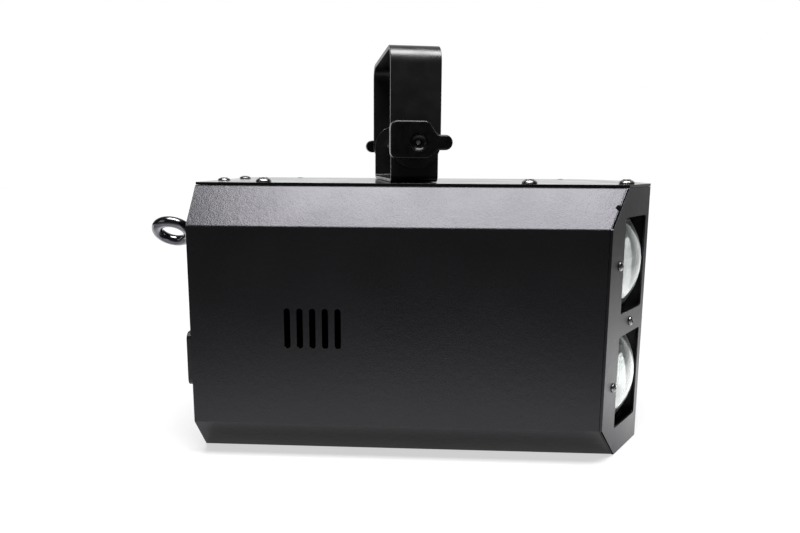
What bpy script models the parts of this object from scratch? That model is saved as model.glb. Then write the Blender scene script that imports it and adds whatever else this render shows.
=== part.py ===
"""An LED party effect light: a folded sheet case with a three faced front, six lenses and a hanging yoke.

The frame has its origin at the middle of the underside. +X is the way the light shines, +Z is up, and all
sizes are in metres.
"""

import math

import bmesh
import bpy
from mathutils import Matrix, Vector

# Case: eight sided in section along X, with a front of three faces in plan
CASE_WIDTH = 0.200
CASE_HEIGHT = 0.2045
SIDE_LENGTH = 0.300
CHAMFER_WIDTH = 0.023
CHAMFER_HEIGHT = 0.028
NOSE_ANGLE = math.radians(35)
CENTRE_FACE_SHARE = 0.38
SHEET = 0.0015
FOLD_RADIUS = 0.002
FOLD_STEPS = 2
LID_SHEET = 0.002
TOP_FLANGE = 0.015
SEAT_GAP = 0.0003

# Side vents
VENT_COUNT = 5
VENT_WIDTH = 0.0046
VENT_LENGTH = 0.030
VENT_PITCH = 0.0092
VENT_FROM_REAR = 0.0898
VENT_HEIGHT = 0.1004

# Windows and lenses
WINDOW_SIDE_MARGIN = 0.016
WINDOW_CORNER = 0.002
WINDOW_BAR = 0.0175
WINDOW_TOP_MARGIN = 0.0235
WINDOW_BOTTOM_MARGIN = 0.0215
WINDOW_FROM_RIDGE = 0.0068
LENS_SIDE_LAP = 0.0015
LENS_END_LAP = 0.0045
LENS_SPHERE = 0.0559
LENS_BULGE = 0.0025
LENS_BACK = 0.012
LENS_FLANGE = 0.002
LENS_STEPS = 32
LENS_RINGS = 4
FRAME_SHEET = 0.002
FRAME_MARGIN = 0.004
FRAME_POST_MARGIN = 0.0015
FRAME_LIP = 0.003
FRAME_RIDGE_MARGIN = 0.0005
SIDE_POST_MARGIN = 0.0068
CENTRE_POST_MARGIN = 0.0065
POST_RADIUS = 0.003
POST_BEYOND_MIDDLE = 0.00125

# Light source: a finned column inside a turning drum of slots
DRUM_RADIUS = 0.084
DRUM_WALL = 0.0015
DRUM_BELOW_LID = 0.0305
DRUM_BOTTOM = 0.034
DRUM_DISC = 0.002
DRUM_RIM = 0.003
DRUM_STEPS = 36
DRUM_SLOT_STEPS = 3
DRUM_SLOT_COUNT = 12
DRUM_SLOT_WIDTH = 0.016
DRUM_SLOT_INSET = 0.0165
SPOKE_COUNT = 6
SPOKE_HOLE_RADIUS = 0.016
SPOKE_HOLE_REACH = 0.050
COLUMN_FACE = 0.024
COLUMN_BELOW_HUB = 0.0015
COLUMN_WALL = 0.004
COLUMN_FOOT = 0.004
COLUMN_FOOT_MARGIN = 0.006
FIN_COUNT = 6
FIN_THICKNESS = 0.002
FIN_DEPTH = 0.024
BOARD_THICKNESS = 0.0016
BOARD_WIDTH = 0.020
BOARD_BEYOND_CUP = 0.01175
COLLIMATOR_RADIUS = 0.0095
COLLIMATOR_BASE = 0.004
COLLIMATOR_LENGTH = 0.012

# Drum motor and the bridge that carries it
SHAFT_RADIUS = 0.0025
SHAFT_BORE_GAP = 0.0004
HUB_RADIUS = 0.007
HUB_HEIGHT = 0.008
MOTOR_SIZE = 0.042
MOTOR_HEIGHT = 0.020
MOTOR_CORNER = 0.005
MOTOR_CAP = 0.0045
MOTOR_GROOVE = 0.0007
MOTOR_BOSS_RADIUS = 0.011
MOTOR_BOSS_HEIGHT = 0.0015
BRIDGE_WIDTH = 0.056
BRIDGE_FROM_FLANGE = 0.008
BRIDGE_LEAN = 0.004
BRIDGE_FLANGE_INSET = 0.005
DECK_ABOVE_DRUM = 0.003

# Hanging bracket: a base that swivels on the lid, and the yoke that tilts in it
BRACKET_FROM_REAR = 0.1505
BRACKET_TURN = math.radians(10.85)
BRACKET_SHEET = 0.0025
BASE_OUTER_WIDTH = 0.1162
BASE_STRIP = 0.036
BASE_BEND = 0.005
PIVOT_ABOVE_LID = 0.0295
YOKE_SHEET = 0.003
YOKE_STRIP = 0.038
YOKE_OUTER_WIDTH = 0.1254
YOKE_ABOVE_LID = 0.101
YOKE_BEND = 0.014
BEND_STEPS = 6
ARM_STEPS = 12
CLAMP_HOLE_RADIUS = 0.0065
SIDE_HOLE_RADIUS = 0.004
SIDE_HOLE_SPACING = 0.052
WASHER_RADIUS = 0.013
STUD_RADIUS = 0.004
STUD_GAP = 0.0004
STUD_STEPS = 24
NUT_ACROSS = 0.013
NUT_HEIGHT = 0.006
KNOB_COLLAR_RADIUS = 0.0095
KNOB_COLLAR_LENGTH = 0.005
KNOB_THICKNESS = 0.009
KNOB_PADDLE_REACH = 0.0206
KNOB_PADDLE_TOP = 0.0155
KNOB_PADDLE_BOTTOM = 0.012
KNOB_PADDLE_END = 0.0075
KNOB_WING_REACH = 0.0252
KNOB_WING_ROOT = 0.0135
KNOB_WING_HALF = 0.0055
KNOB_CORNER_STEPS = 4
KNOB_DIMPLE_RADIUS = 0.006
KNOB_DIMPLE_FLOOR = 0.0036
KNOB_DIMPLE_DEPTH = 0.0035
BOLT_HEAD_ACROSS = 0.013
BOLT_HEAD_HEIGHT = 0.0053
BOLT_BELOW_LID = 0.012

# Safety eye
EYE_WIRE = 0.0032
EYE_RING = 0.0127
EYE_FROM_SIDE = 0.030
EYE_BELOW_TOP = 0.0375
EYE_COLLAR_RADIUS = 0.0075
EYE_COLLAR = 0.003
EYE_NECK_RADIUS = 0.0056
EYE_CENTRE_BEHIND = 0.0237
EYE_STEPS = 24
EYE_WIRE_STEPS = 10
EYE_ROLL = math.radians(53)
EYE_THREAD_LENGTH = 0.012

# Rear panel and what it carries
REAR_INSET = 0.0015
REAR_FLANGE = 0.014
FLANGE_DROP = 0.0001
FAN_SIZE = 0.060
FAN_DEPTH = 0.020
FAN_FROM_SIDE = 0.048
FAN_BELOW_TOP = 0.0665
FAN_BORE_RADIUS = 0.0285
FAN_HUB_RADIUS = 0.0125
FAN_BLADE_COUNT = 7
FAN_BLADE_REACH = 0.0272
FAN_BLADE_THICKNESS = 0.0014
FAN_BLADE_PITCH = math.radians(38)
FAN_STRUT_WIDTH = 0.004
FAN_STRUT_DEPTH = 0.003
FAN_CORNER = 0.004
FAN_RECESS = 0.0015
FAN_BORE_STEPS = 36
GUARD_WIRE = 0.0009
GUARD_WIRE_STEPS = 5
GUARD_RING_COUNT = 4
GUARD_FIRST_RING = 0.010
GUARD_RING_PITCH = 0.0065
GUARD_REACH = 0.034
INLET_FROM_SIDE = 0.022
INLET_Z = 0.073
INLET_WIDTH = 0.028
INLET_HEIGHT = 0.041
INLET_BEZEL = 0.0075
INLET_CORNER = 0.005
INLET_BODY_WIDTH = 0.024
INLET_BODY_HEIGHT = 0.036
INLET_BODY_DEPTH = 0.024
INLET_MOUTH_WIDTH = 0.0205
INLET_MOUTH_HEIGHT = 0.014
INLET_MOUTH_DEPTH = 0.017
INLET_MOUTH_RISE = 0.007
INLET_MOUTH_CORNER = 0.001
INLET_KEY = 0.0038
INLET_PIN_LENGTH = 0.012
INLET_PIN_OFFSET = 0.0016
INLET_PIN_WIDTH = 0.002
INLET_PIN_HEIGHT = 0.004
INLET_PIN_SPACING = 0.007
DRAWER_WIDTH = 0.020
DRAWER_HEIGHT = 0.009
DRAWER_DROP = 0.0115
DRAWER_DEPTH = 0.020
DRAWER_WALL = 0.0015
DRAWER_FRONT = 0.004
DRAWER_LIP = 0.0012
DRAWER_LIP_WIDTH = 0.010
FIT_GAP = 0.0004
SOCKET_Z = 0.060
SOCKET_FROM_SIDE = 0.044
SOCKET_PITCH = 0.036
SOCKET_FLANGE_WIDTH = 0.026
SOCKET_FLANGE_HEIGHT = 0.031
SOCKET_FLANGE = 0.002
SOCKET_RADIUS = 0.0118
SOCKET_DEPTH = 0.020
SOCKET_MOUTH_RADIUS = 0.0098
SOCKET_MOUTH_DEPTH = 0.014
SOCKET_PIN_RADIUS = 0.0012
SOCKET_PIN_CIRCLE = 0.0046
SOCKET_PIN_LENGTH = 0.009
DISPLAY_FROM_FAN = 0.068
DISPLAY_BELOW_TOP = 0.0545
DISPLAY_WIDTH = 0.040
DISPLAY_HEIGHT = 0.020
DISPLAY_LIP = 0.0015
DISPLAY_DEPTH = 0.006
BUTTON_COUNT = 4
BUTTON_PITCH = 0.013
BUTTON_BELOW_DISPLAY = 0.024
BUTTON_RADIUS = 0.0035
BUTTON_PROUD = 0.0016
BUTTON_FLANGE_RADIUS = 0.0045
BUTTON_FLANGE = 0.001
BUTTON_STEM_RADIUS = 0.002
BUTTON_TRAVEL = 0.0008
BUTTON_LENGTH = 0.0065
SWITCH_SIZE = 0.006
SWITCH_HEIGHT = 0.0035
PANEL_HOLE_GAP = 0.0005
MICROPHONE_BELOW_BUTTONS = 0.019
MICROPHONE_RADIUS = 0.0045
MICROPHONE_HOLE_RADIUS = 0.0022
MICROPHONE_LENGTH = 0.006
CONTROL_BOARD_WIDTH = 0.052
CONTROL_BOARD_EDGE = 0.006

# Mains supply board on the floor of the case
SUPPLY_LENGTH = 0.110
SUPPLY_WIDTH = 0.074
SUPPLY_FROM_REAR = 0.095
SUPPLY_FROM_SIDE = 0.070
STANDOFF_RADIUS = 0.003
STANDOFF_HEIGHT = 0.006
STANDOFF_INSET = 0.006
TRANSFORMER_SIZE = (0.034, 0.030, 0.026)
TRANSFORMER_PLACE = (-0.004, 0.004)
HEAT_SINK_SIZE = (0.030, 0.004, 0.022)
HEAT_SINK_PLACE = (0.034, 0.014)
COIL_RADIUS = 0.010
COIL_HEIGHT = 0.014
COIL_PLACE = (-0.038, 0.016)
INPUT_CAPACITOR_RADIUS = 0.0085
INPUT_CAPACITOR_HEIGHT = 0.028
INPUT_CAPACITOR_PLACE = (-0.034, -0.014)
OUTPUT_CAPACITOR_RADIUS = 0.006
OUTPUT_CAPACITOR_HEIGHT = 0.020
OUTPUT_CAPACITOR_PLACES = ((0.026, -0.020), (0.042, -0.020))

ROUND_STEPS = 24
SMALL_STEPS = 12

# Places that follow from the sizes above
CENTRE_FACE_WIDTH = CENTRE_FACE_SHARE * CASE_WIDTH
NOSE_DEPTH = (CASE_WIDTH - CENTRE_FACE_WIDTH) / 2 * math.tan(NOSE_ANGLE)
REAR_X = -(SIDE_LENGTH + NOSE_DEPTH) / 2
CORNER_X = REAR_X + SIDE_LENGTH
TIP_X = CORNER_X + NOSE_DEPTH
UNDER_LID = CASE_HEIGHT - LID_SHEET
SHELL_TOP = UNDER_LID - SEAT_GAP
FLAT_HALF_WIDTH = CASE_WIDTH / 2 - CHAMFER_WIDTH
DRUM_X = TIP_X - CENTRE_FACE_WIDTH / 2 / math.tan(NOSE_ANGLE / 2)
BRACKET_X = REAR_X + BRACKET_FROM_REAR
PIVOT_Z = CASE_HEIGHT + PIVOT_ABOVE_LID
REAR_OUTER = REAR_X + REAR_INSET
REAR_INNER = REAR_OUTER + SHEET
WINDOW_WIDTH = CENTRE_FACE_WIDTH - 2 * WINDOW_SIDE_MARGIN
WINDOW_HEIGHT = (CASE_HEIGHT - WINDOW_TOP_MARGIN - WINDOW_BAR - WINDOW_BOTTOM_MARGIN) / 2
WINDOW_PITCH = WINDOW_HEIGHT + WINDOW_BAR
WINDOW_MIDDLE = WINDOW_BOTTOM_MARGIN + WINDOW_HEIGHT + WINDOW_BAR / 2
LENS_WIDTH = WINDOW_WIDTH + 2 * LENS_SIDE_LAP
LENS_HEIGHT = WINDOW_HEIGHT + 2 * LENS_END_LAP
DRUM_TOP = UNDER_LID - DRUM_BELOW_LID
DRUM_HEIGHT = DRUM_TOP - DRUM_BOTTOM
DRUM_SLOT_LENGTH = WINDOW_HEIGHT - 2 * DRUM_SLOT_INSET
BOARD_HEIGHT = WINDOW_PITCH + 2 * BOARD_BEYOND_CUP
BRIDGE_DECK = FLAT_HALF_WIDTH - TOP_FLANGE - BRIDGE_FROM_FLANGE - BRIDGE_LEAN
EYE_Y = EYE_FROM_SIDE - CASE_WIDTH / 2
EYE_Z = CASE_HEIGHT - EYE_BELOW_TOP
INLET_Y = INLET_FROM_SIDE - CASE_WIDTH / 2
FAN_Y = CASE_WIDTH / 2 - FAN_FROM_SIDE
FAN_Z = CASE_HEIGHT - FAN_BELOW_TOP
SOCKET_OUT_Y = CASE_WIDTH / 2 - SOCKET_FROM_SIDE
SOCKET_IN_Y = SOCKET_OUT_Y - SOCKET_PITCH
DISPLAY_Y = FAN_Y - DISPLAY_FROM_FAN
DISPLAY_Z = CASE_HEIGHT - DISPLAY_BELOW_TOP
BUTTON_Z = DISPLAY_Z - BUTTON_BELOW_DISPLAY
MICROPHONE_Y = DISPLAY_Y
MICROPHONE_Z = BUTTON_Z - MICROPHONE_BELOW_BUTTONS
CONTROL_BOARD_TOP = DISPLAY_Z + DISPLAY_HEIGHT / 2 + CONTROL_BOARD_EDGE
CONTROL_BOARD_BOTTOM = MICROPHONE_Z - MICROPHONE_RADIUS - CONTROL_BOARD_EDGE
SUPPLY_Y = CASE_WIDTH / 2 - SUPPLY_FROM_SIDE

OBJECT_NAME = "led_party_effect_light"


# Scene and materials


def clear_scene():
    for item in list(bpy.data.objects):
        bpy.data.objects.remove(item, do_unlink=True)


def new_collection(name):
    collection = bpy.data.collections.new(name)
    bpy.context.scene.collection.children.link(collection)
    return collection


clear_scene()
PARTS = new_collection(OBJECT_NAME)
CUTTERS = new_collection("cutters")
CUTTERS.hide_render = True


def material(name, colour, roughness, metallic=0.0):
    made = bpy.data.materials.new(name)
    made.use_nodes = True
    shader = made.node_tree.nodes["Principled BSDF"]
    shader.inputs["Base Color"].default_value = (*colour, 1)
    shader.inputs["Roughness"].default_value = roughness
    shader.inputs["Metallic"].default_value = metallic
    return made


BLACK_PAINT = material("black_powder_coat", (0.012, 0.012, 0.013), 0.45)
BRACKET_PAINT = material("black_satin_paint", (0.010, 0.010, 0.011), 0.38)
BLACK_PLASTIC = material("black_plastic", (0.008, 0.008, 0.009), 0.35)
CLEAR_PLASTIC = material("clear_acrylic", (0.82, 0.90, 0.88), 0.06)
BARE_STEEL = material("bare_steel", (0.55, 0.55, 0.56), 0.30, 1.0)
DARK_STEEL = material("black_nickel_steel", (0.08, 0.08, 0.09), 0.18, 1.0)
ALUMINIUM = material("aluminium", (0.70, 0.71, 0.73), 0.35, 1.0)
BRASS = material("brass", (0.78, 0.60, 0.28), 0.28, 1.0)
GREEN_BOARD = material("green_circuit_board", (0.02, 0.16, 0.06), 0.40)
WHITE_BOARD = material("white_circuit_board", (0.80, 0.80, 0.78), 0.45)
DISPLAY_RED = material("dark_red_window", (0.10, 0.005, 0.005), 0.10)


# Placing and joining


def frame(origin, x_axis, z_axis):
    """A matrix whose local X and Z run along these two world directions."""
    x_axis = Vector(x_axis).normalized()
    z_axis = Vector(z_axis).normalized()
    matrix = Matrix((x_axis, z_axis.cross(x_axis), z_axis)).transposed().to_4x4()
    matrix.translation = Vector(origin)
    return matrix


def upright(x, y, z, turn=0.0):
    return Matrix.Translation((x, y, z)) @ Matrix.Rotation(turn, 4, "Z")


def rearward(x, y, z):
    """Local Z points out of the rear of the case, local Y points up and local X towards -Y."""
    return frame((x, y, z), (0, -1, 0), (-1, 0, 0))


def link(name, mesh, matrix, finish=None, parent=None):
    """Puts a mesh in the scene, as a part if it has a finish and otherwise as a hidden cutter."""
    made = bpy.data.objects.new(name, mesh)
    (PARTS if finish else CUTTERS).objects.link(made)
    if finish:
        mesh.materials.clear()
        mesh.materials.append(finish)
    else:
        made.hide_render = True
        made.display_type = "WIRE"
    if parent:
        made.parent = parent
        made.matrix_parent_inverse = parent.matrix_basis.inverted()
    made.matrix_basis = matrix
    return made


def pivot(name, matrix):
    made = bpy.data.objects.new(name, None)
    PARTS.objects.link(made)
    made.matrix_basis = matrix
    return made


def boolean(part, other, operation):
    modifier = part.modifiers.new(f"{operation.lower()} {other.name}", "BOOLEAN")
    modifier.operation = operation
    modifier.object = other
    modifier.solver = "EXACT"
    return part


def cut(part, *others):
    for other in others:
        boolean(part, other, "DIFFERENCE")
    return part


def fuse(part, *others):
    for other in others:
        boolean(part, other, "UNION")
    return part


def keep(part, other):
    return boolean(part, other, "INTERSECT")


# Outlines


def ring(radius, steps=ROUND_STEPS, x=0.0, y=0.0, start=0.0):
    angles = [start + 2 * math.pi * i / steps for i in range(steps)]
    return [(x + radius * math.cos(angle), y + radius * math.sin(angle)) for angle in angles]


def rounded(points, radius, steps=2, closed=True):
    """An outline with each corner replaced by an arc of this radius, or by less where its sides are short."""
    result = []
    count = len(points)
    for i, here in enumerate(points):
        if not closed and i in (0, count - 1):
            result.append(tuple(here))
            continue
        corner = Vector(here)
        before = Vector(points[i - 1]) - corner
        after = Vector(points[(i + 1) % count]) - corner
        half = before.angle(after) / 2
        reach = min(radius / math.tan(half), before.length / 2.01, after.length / 2.01)
        actual = reach * math.tan(half)
        middle = corner + (before.normalized() + after.normalized()).normalized() * (actual / math.sin(half))
        first = corner + before.normalized() * reach - middle
        last = corner + after.normalized() * reach - middle
        sweep = math.atan2(first.cross(last), first.dot(last))
        for step in range(steps + 1):
            spoke = first.copy()
            spoke.rotate(Matrix.Rotation(sweep * step / steps, 2))
            result.append(tuple(middle + spoke))
    return result


def rectangle(width, height, x=0.0, y=0.0):
    w, h = width / 2, height / 2
    return [(x - w, y - h), (x + w, y - h), (x + w, y + h), (x - w, y + h)]


def soft_rectangle(width, height, radius, x=0.0, y=0.0, steps=3):
    return rounded(rectangle(width, height, x, y), radius, steps)


def slot(width, length, x=0.0, y=0.0, steps=6):
    """A slot with round ends, its length along the outline's own Y."""
    radius = width / 2
    middle = y + length / 2 - radius
    angles = [math.pi * i / steps for i in range(steps + 1)]
    upper = [(x + radius * math.cos(angle), middle + radius * math.sin(angle)) for angle in angles]
    lower = [(2 * x - px, 2 * y - py) for px, py in upper]
    return upper + lower


def hexagon(across, x=0.0, y=0.0):
    return ring(across / math.sqrt(3), 6, x, y)


def case_section(inset=0.0, top=CASE_HEIGHT):
    """The eight sided section across the case, as (y, z), drawn in by an even inset."""
    half = CASE_WIDTH / 2 - inset
    slope = math.hypot(CHAMFER_WIDTH, CHAMFER_HEIGHT)
    flat = FLAT_HALF_WIDTH + inset * (CHAMFER_WIDTH - slope) / CHAMFER_HEIGHT
    rise = CHAMFER_HEIGHT + inset * (slope - CHAMFER_HEIGHT) / CHAMFER_WIDTH
    low, high = inset, top - inset
    quarter = [(flat, low), (half, rise), (half, high - rise + low), (flat, high)]
    return quarter + [(-y, z) for y, z in reversed(quarter)]


def nose_points(inset):
    """The two edges between the three front faces, in plan, with the faces drawn in by an inset."""
    y = CENTRE_FACE_WIDTH / 2 - inset * math.tan(NOSE_ANGLE / 2)
    return TIP_X - inset, y


def case_plan(inset, half_width, rear=REAR_X):
    """The outline of the case from above, between two side lines, with its front faces drawn in."""
    tip, edge = nose_points(inset)
    side = tip - (half_width - edge) * math.tan(NOSE_ANGLE)
    half = [(rear, -half_width), (side, -half_width), (tip, -edge)]
    return half + [(x, -y) for x, y in reversed(half)]


# Meshes


def flat(loops, thickness):
    """A flat plate from z = 0 up, filled between an outer loop and the holes in it."""
    curve = bpy.data.curves.new("outline", "CURVE")
    curve.dimensions = "2D"
    curve.fill_mode = "BOTH"
    curve.extrude = thickness / 2
    for loop in loops:
        spline = curve.splines.new("POLY")
        spline.points.add(len(loop) - 1)
        for point, (x, y) in zip(spline.points, loop):
            point.co = (x, y, 0, 1)
        spline.use_cyclic_u = True
    return mesh_of(curve, Matrix.Translation((0, 0, thickness / 2)))


def mesh_of(curve, shift):
    """The mesh of a curve, with its loose caps welded."""
    holder = bpy.data.objects.new("holder", curve)
    bpy.context.scene.collection.objects.link(holder)
    graph = bpy.context.evaluated_depsgraph_get()
    mesh = bpy.data.meshes.new_from_object(holder.evaluated_get(graph))
    bpy.data.objects.remove(holder, do_unlink=True)
    bpy.data.curves.remove(curve)
    made = bmesh.new()
    made.from_mesh(mesh)
    bmesh.ops.remove_doubles(made, verts=made.verts, dist=1e-6)
    bmesh.ops.transform(made, matrix=shift, verts=made.verts)
    bmesh.ops.recalc_face_normals(made, faces=made.faces)
    made.to_mesh(mesh)
    made.free()
    return mesh


def box(width, depth, height):
    """A box standing on z = 0."""
    made = bmesh.new()
    shape = Matrix.Translation((0, 0, height / 2)) @ Matrix.Diagonal((width, depth, height, 1))
    bmesh.ops.create_cube(made, size=1, matrix=shape)
    return finished(made)


def rod(radius, height, steps=ROUND_STEPS, top_radius=None):
    """A cylinder or cone standing on z = 0."""
    made = bmesh.new()
    bmesh.ops.create_cone(
        made,
        cap_ends=True,
        segments=steps,
        radius1=radius,
        radius2=radius if top_radius is None else top_radius,
        depth=height,
        matrix=Matrix.Translation((0, 0, height / 2)),
    )
    return finished(made)


def finished(made):
    mesh = bpy.data.meshes.new("shape")
    made.to_mesh(mesh)
    made.free()
    return mesh


def line_mesh(points, closed=False):
    made = bmesh.new()
    verts = [made.verts.new(point) for point in points]
    for first, second in zip(verts, verts[1:] + verts[:1] * closed):
        made.edges.new((first, second))
    return finished(made)


def turned(name, profile, matrix, finish=None, parent=None, steps=ROUND_STEPS, closed=False):
    """A profile of (radius, height) points turned about local Z, given down its outer side."""
    made = link(name, line_mesh([(r, 0, z) for r, z in profile], closed), matrix, finish, parent)
    screw = made.modifiers.new("turn", "SCREW")
    screw.steps = steps
    screw.render_steps = steps
    screw.use_merge_vertices = True
    screw.merge_threshold = 1e-5
    return made


def folded(name, points, along, thickness, matrix, finish=None, parent=None):
    """A sheet folded along a line of (x, y) points, run along local Z, its metal on the line's left."""
    made = bmesh.new()
    near = [made.verts.new((x, y, 0)) for x, y in points]
    far = [made.verts.new((x, y, along)) for x, y in points]
    for a, b, c, d in zip(near, near[1:], far[1:], far):
        made.faces.new((a, b, c, d))
    sheet = link(name, finished(made), matrix, finish, parent)
    solidify = sheet.modifiers.new("sheet", "SOLIDIFY")
    solidify.thickness = thickness
    solidify.offset = -1
    solidify.use_even_offset = True
    return sheet


def smooth(mesh, angle=math.radians(35)):
    mesh.shade_smooth()
    mesh.set_sharp_from_angle(angle=angle)
    return mesh


# Case


def along_case(x):
    """Local X runs along world Y and local Y along world Z, so that local Z runs forward."""
    return frame((x, 0, 0), (0, 1, 0), (1, 0, 0))


def body_shell():
    """Bottom, sides and chamfers from one folded sheet, open at the top between two flanges."""
    flange_end = FLAT_HALF_WIDTH - TOP_FLANGE
    section = case_section(0.0, SHELL_TOP)
    line = [(-flange_end, SHELL_TOP)] + section[4:] + section[:4] + [(flange_end, SHELL_TOP)]
    line = rounded(line, FOLD_RADIUS, FOLD_STEPS, closed=False)
    shell = folded("body_shell", line, TIP_X - REAR_X, SHEET, along_case(REAR_X), BLACK_PAINT)
    plan = case_plan(SHEET + SEAT_GAP, CASE_WIDTH)
    keep(shell, link("shell_plan", flat([plan], 2 * CASE_HEIGHT), upright(0, 0, -CASE_HEIGHT / 2)))
    first = VENT_FROM_REAR - VENT_PITCH * (VENT_COUNT - 1) / 2
    for i in range(VENT_COUNT):
        place = frame((REAR_X + first + VENT_PITCH * i, CASE_WIDTH, VENT_HEIGHT), (1, 0, 0), (0, -1, 0))
        cut(shell, link(f"vent_cut_{i + 1}", flat([slot(VENT_WIDTH, VENT_LENGTH)], 2 * CASE_WIDTH), place))
    return shell


def lid():
    outline = case_plan(0.0, FLAT_HALF_WIDTH)
    bolt_hole = ring(STUD_RADIUS + STUD_GAP, STUD_STEPS, BRACKET_X, 0)
    return link("lid", flat([outline, bolt_hole], LID_SHEET), upright(0, 0, UNDER_LID), BLACK_PAINT)


def face_frame(side, height):
    """The frame of a window: on the outer face, local Z outwards, local Y up. side is -1, 0 or 1 along Y."""
    turn = side * NOSE_ANGLE
    normal = Vector((math.cos(turn), math.sin(turn), 0))
    across = Vector((0, 0, 1)).cross(normal)
    centre = Vector((TIP_X, side * CENTRE_FACE_WIDTH / 2, height))
    centre += across * side * (WINDOW_FROM_RIDGE + WINDOW_WIDTH / 2)
    return frame(centre, across, normal)


FACES = (("right", -1), ("centre", 0), ("left", 1))
ROWS = (("upper", WINDOW_MIDDLE + WINDOW_PITCH / 2), ("lower", WINDOW_MIDDLE - WINDOW_PITCH / 2))


def front_panel():
    """Three faces folded from one sheet, with six windows, cut to the section of the case."""
    tip, edge = nose_points(0.0)
    reach = CASE_WIDTH
    side = tip - (reach - edge) * math.tan(NOSE_ANGLE)
    line = [(side, -reach), (tip, -edge), (tip, edge), (side, reach)]
    line = rounded(line, FOLD_RADIUS, FOLD_STEPS, closed=False)
    panel = folded("front_panel", line, CASE_HEIGHT, SHEET, upright(0, 0, 0), BLACK_PAINT)
    section = case_section(0.0, SHELL_TOP)
    keep(panel, link("panel_section", flat([section], SIDE_LENGTH), along_case(CORNER_X - SIDE_LENGTH / 2)))
    for face, side in FACES:
        for row, height in ROWS:
            window = flat([soft_rectangle(WINDOW_WIDTH, WINDOW_HEIGHT, WINDOW_CORNER)], 4 * SHEET)
            place = face_frame(side, height) @ Matrix.Translation((0, 0, -2 * SHEET))
            cut(panel, link(f"window_cut_{face}_{row}", window, place))
    return panel


# Lenses


def lens(name, place):
    """A plano-convex lens of clear acrylic, its round dome trimmed at the sides, with a flange behind."""
    back = Matrix.Translation((0, 0, -LENS_BACK))
    base = LENS_SPHERE - LENS_BULGE - LENS_BACK
    rim = math.sqrt(LENS_SPHERE**2 - base**2)
    sweep = math.asin(rim / LENS_SPHERE)
    angles = [sweep * i / LENS_RINGS for i in range(LENS_RINGS + 1)]
    arc = [(LENS_SPHERE * math.sin(angle), LENS_SPHERE * math.cos(angle) - base) for angle in angles]
    made = turned(name, arc + [(0.0, 0.0)], place @ back, CLEAR_PLASTIC, steps=LENS_STEPS)
    trim = flat([rectangle(LENS_WIDTH, LENS_HEIGHT)], LENS_SPHERE)
    keep(made, link(f"{name}_trim", trim, place @ back @ Matrix.Translation((0, 0, -LENS_FLANGE))))
    flange = flat([soft_rectangle(LENS_WIDTH, LENS_HEIGHT, WINDOW_CORNER)], LENS_FLANGE * 1.05)
    fuse(made, link(f"{name}_flange", flange, place @ back @ Matrix.Translation((0, 0, -LENS_FLANGE))))
    return made


def lens_frame(face, side):
    """The plate that holds a face's two lenses against it, on posts behind the panel's screws."""
    depth = LENS_BACK + LENS_FLANGE + SEAT_GAP + FRAME_SHEET
    place = face_frame(side, WINDOW_MIDDLE)
    post = WINDOW_WIDTH / 2 + (SIDE_POST_MARGIN if side else CENTRE_POST_MARGIN)
    posts = [post * reach for reach in (-1, 1) if reach == side or not side]
    edge = post + POST_RADIUS + FRAME_POST_MARGIN
    near_ridge = WINDOW_WIDTH / 2 + FRAME_RIDGE_MARGIN
    left = -near_ridge if side > 0 else -edge
    right = near_ridge if side < 0 else edge
    half = (WINDOW_PITCH + LENS_HEIGHT) / 2 + FRAME_MARGIN
    outline = rounded([(left, -half), (right, -half), (right, half), (left, half)], FRAME_MARGIN, 3)
    width, height = WINDOW_WIDTH - 2 * FRAME_LIP, WINDOW_HEIGHT - 2 * FRAME_LIP
    rises = (-WINDOW_PITCH / 2, WINDOW_PITCH / 2)
    openings = [soft_rectangle(width, height, WINDOW_CORNER, 0, rise) for rise in rises]
    plate = flat([outline] + openings, FRAME_SHEET)
    made = link(f"lens_frame_{face}", plate, place @ Matrix.Translation((0, 0, -depth)), BARE_STEEL)
    rise = WINDOW_PITCH / 2 + POST_BEYOND_MIDDLE
    spots = [(x, y) for x in posts for y in (-rise, rise)] + [(0, 0)]
    length = depth - FRAME_SHEET / 2 - SHEET - SEAT_GAP
    for i, (x, y) in enumerate(spots):
        shift = Matrix.Translation((x, y, -depth + FRAME_SHEET / 2))
        fuse(made, link(f"{face}_post_{i + 1}", rod(POST_RADIUS, length, SMALL_STEPS), place @ shift))
    return made


# Light source


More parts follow.
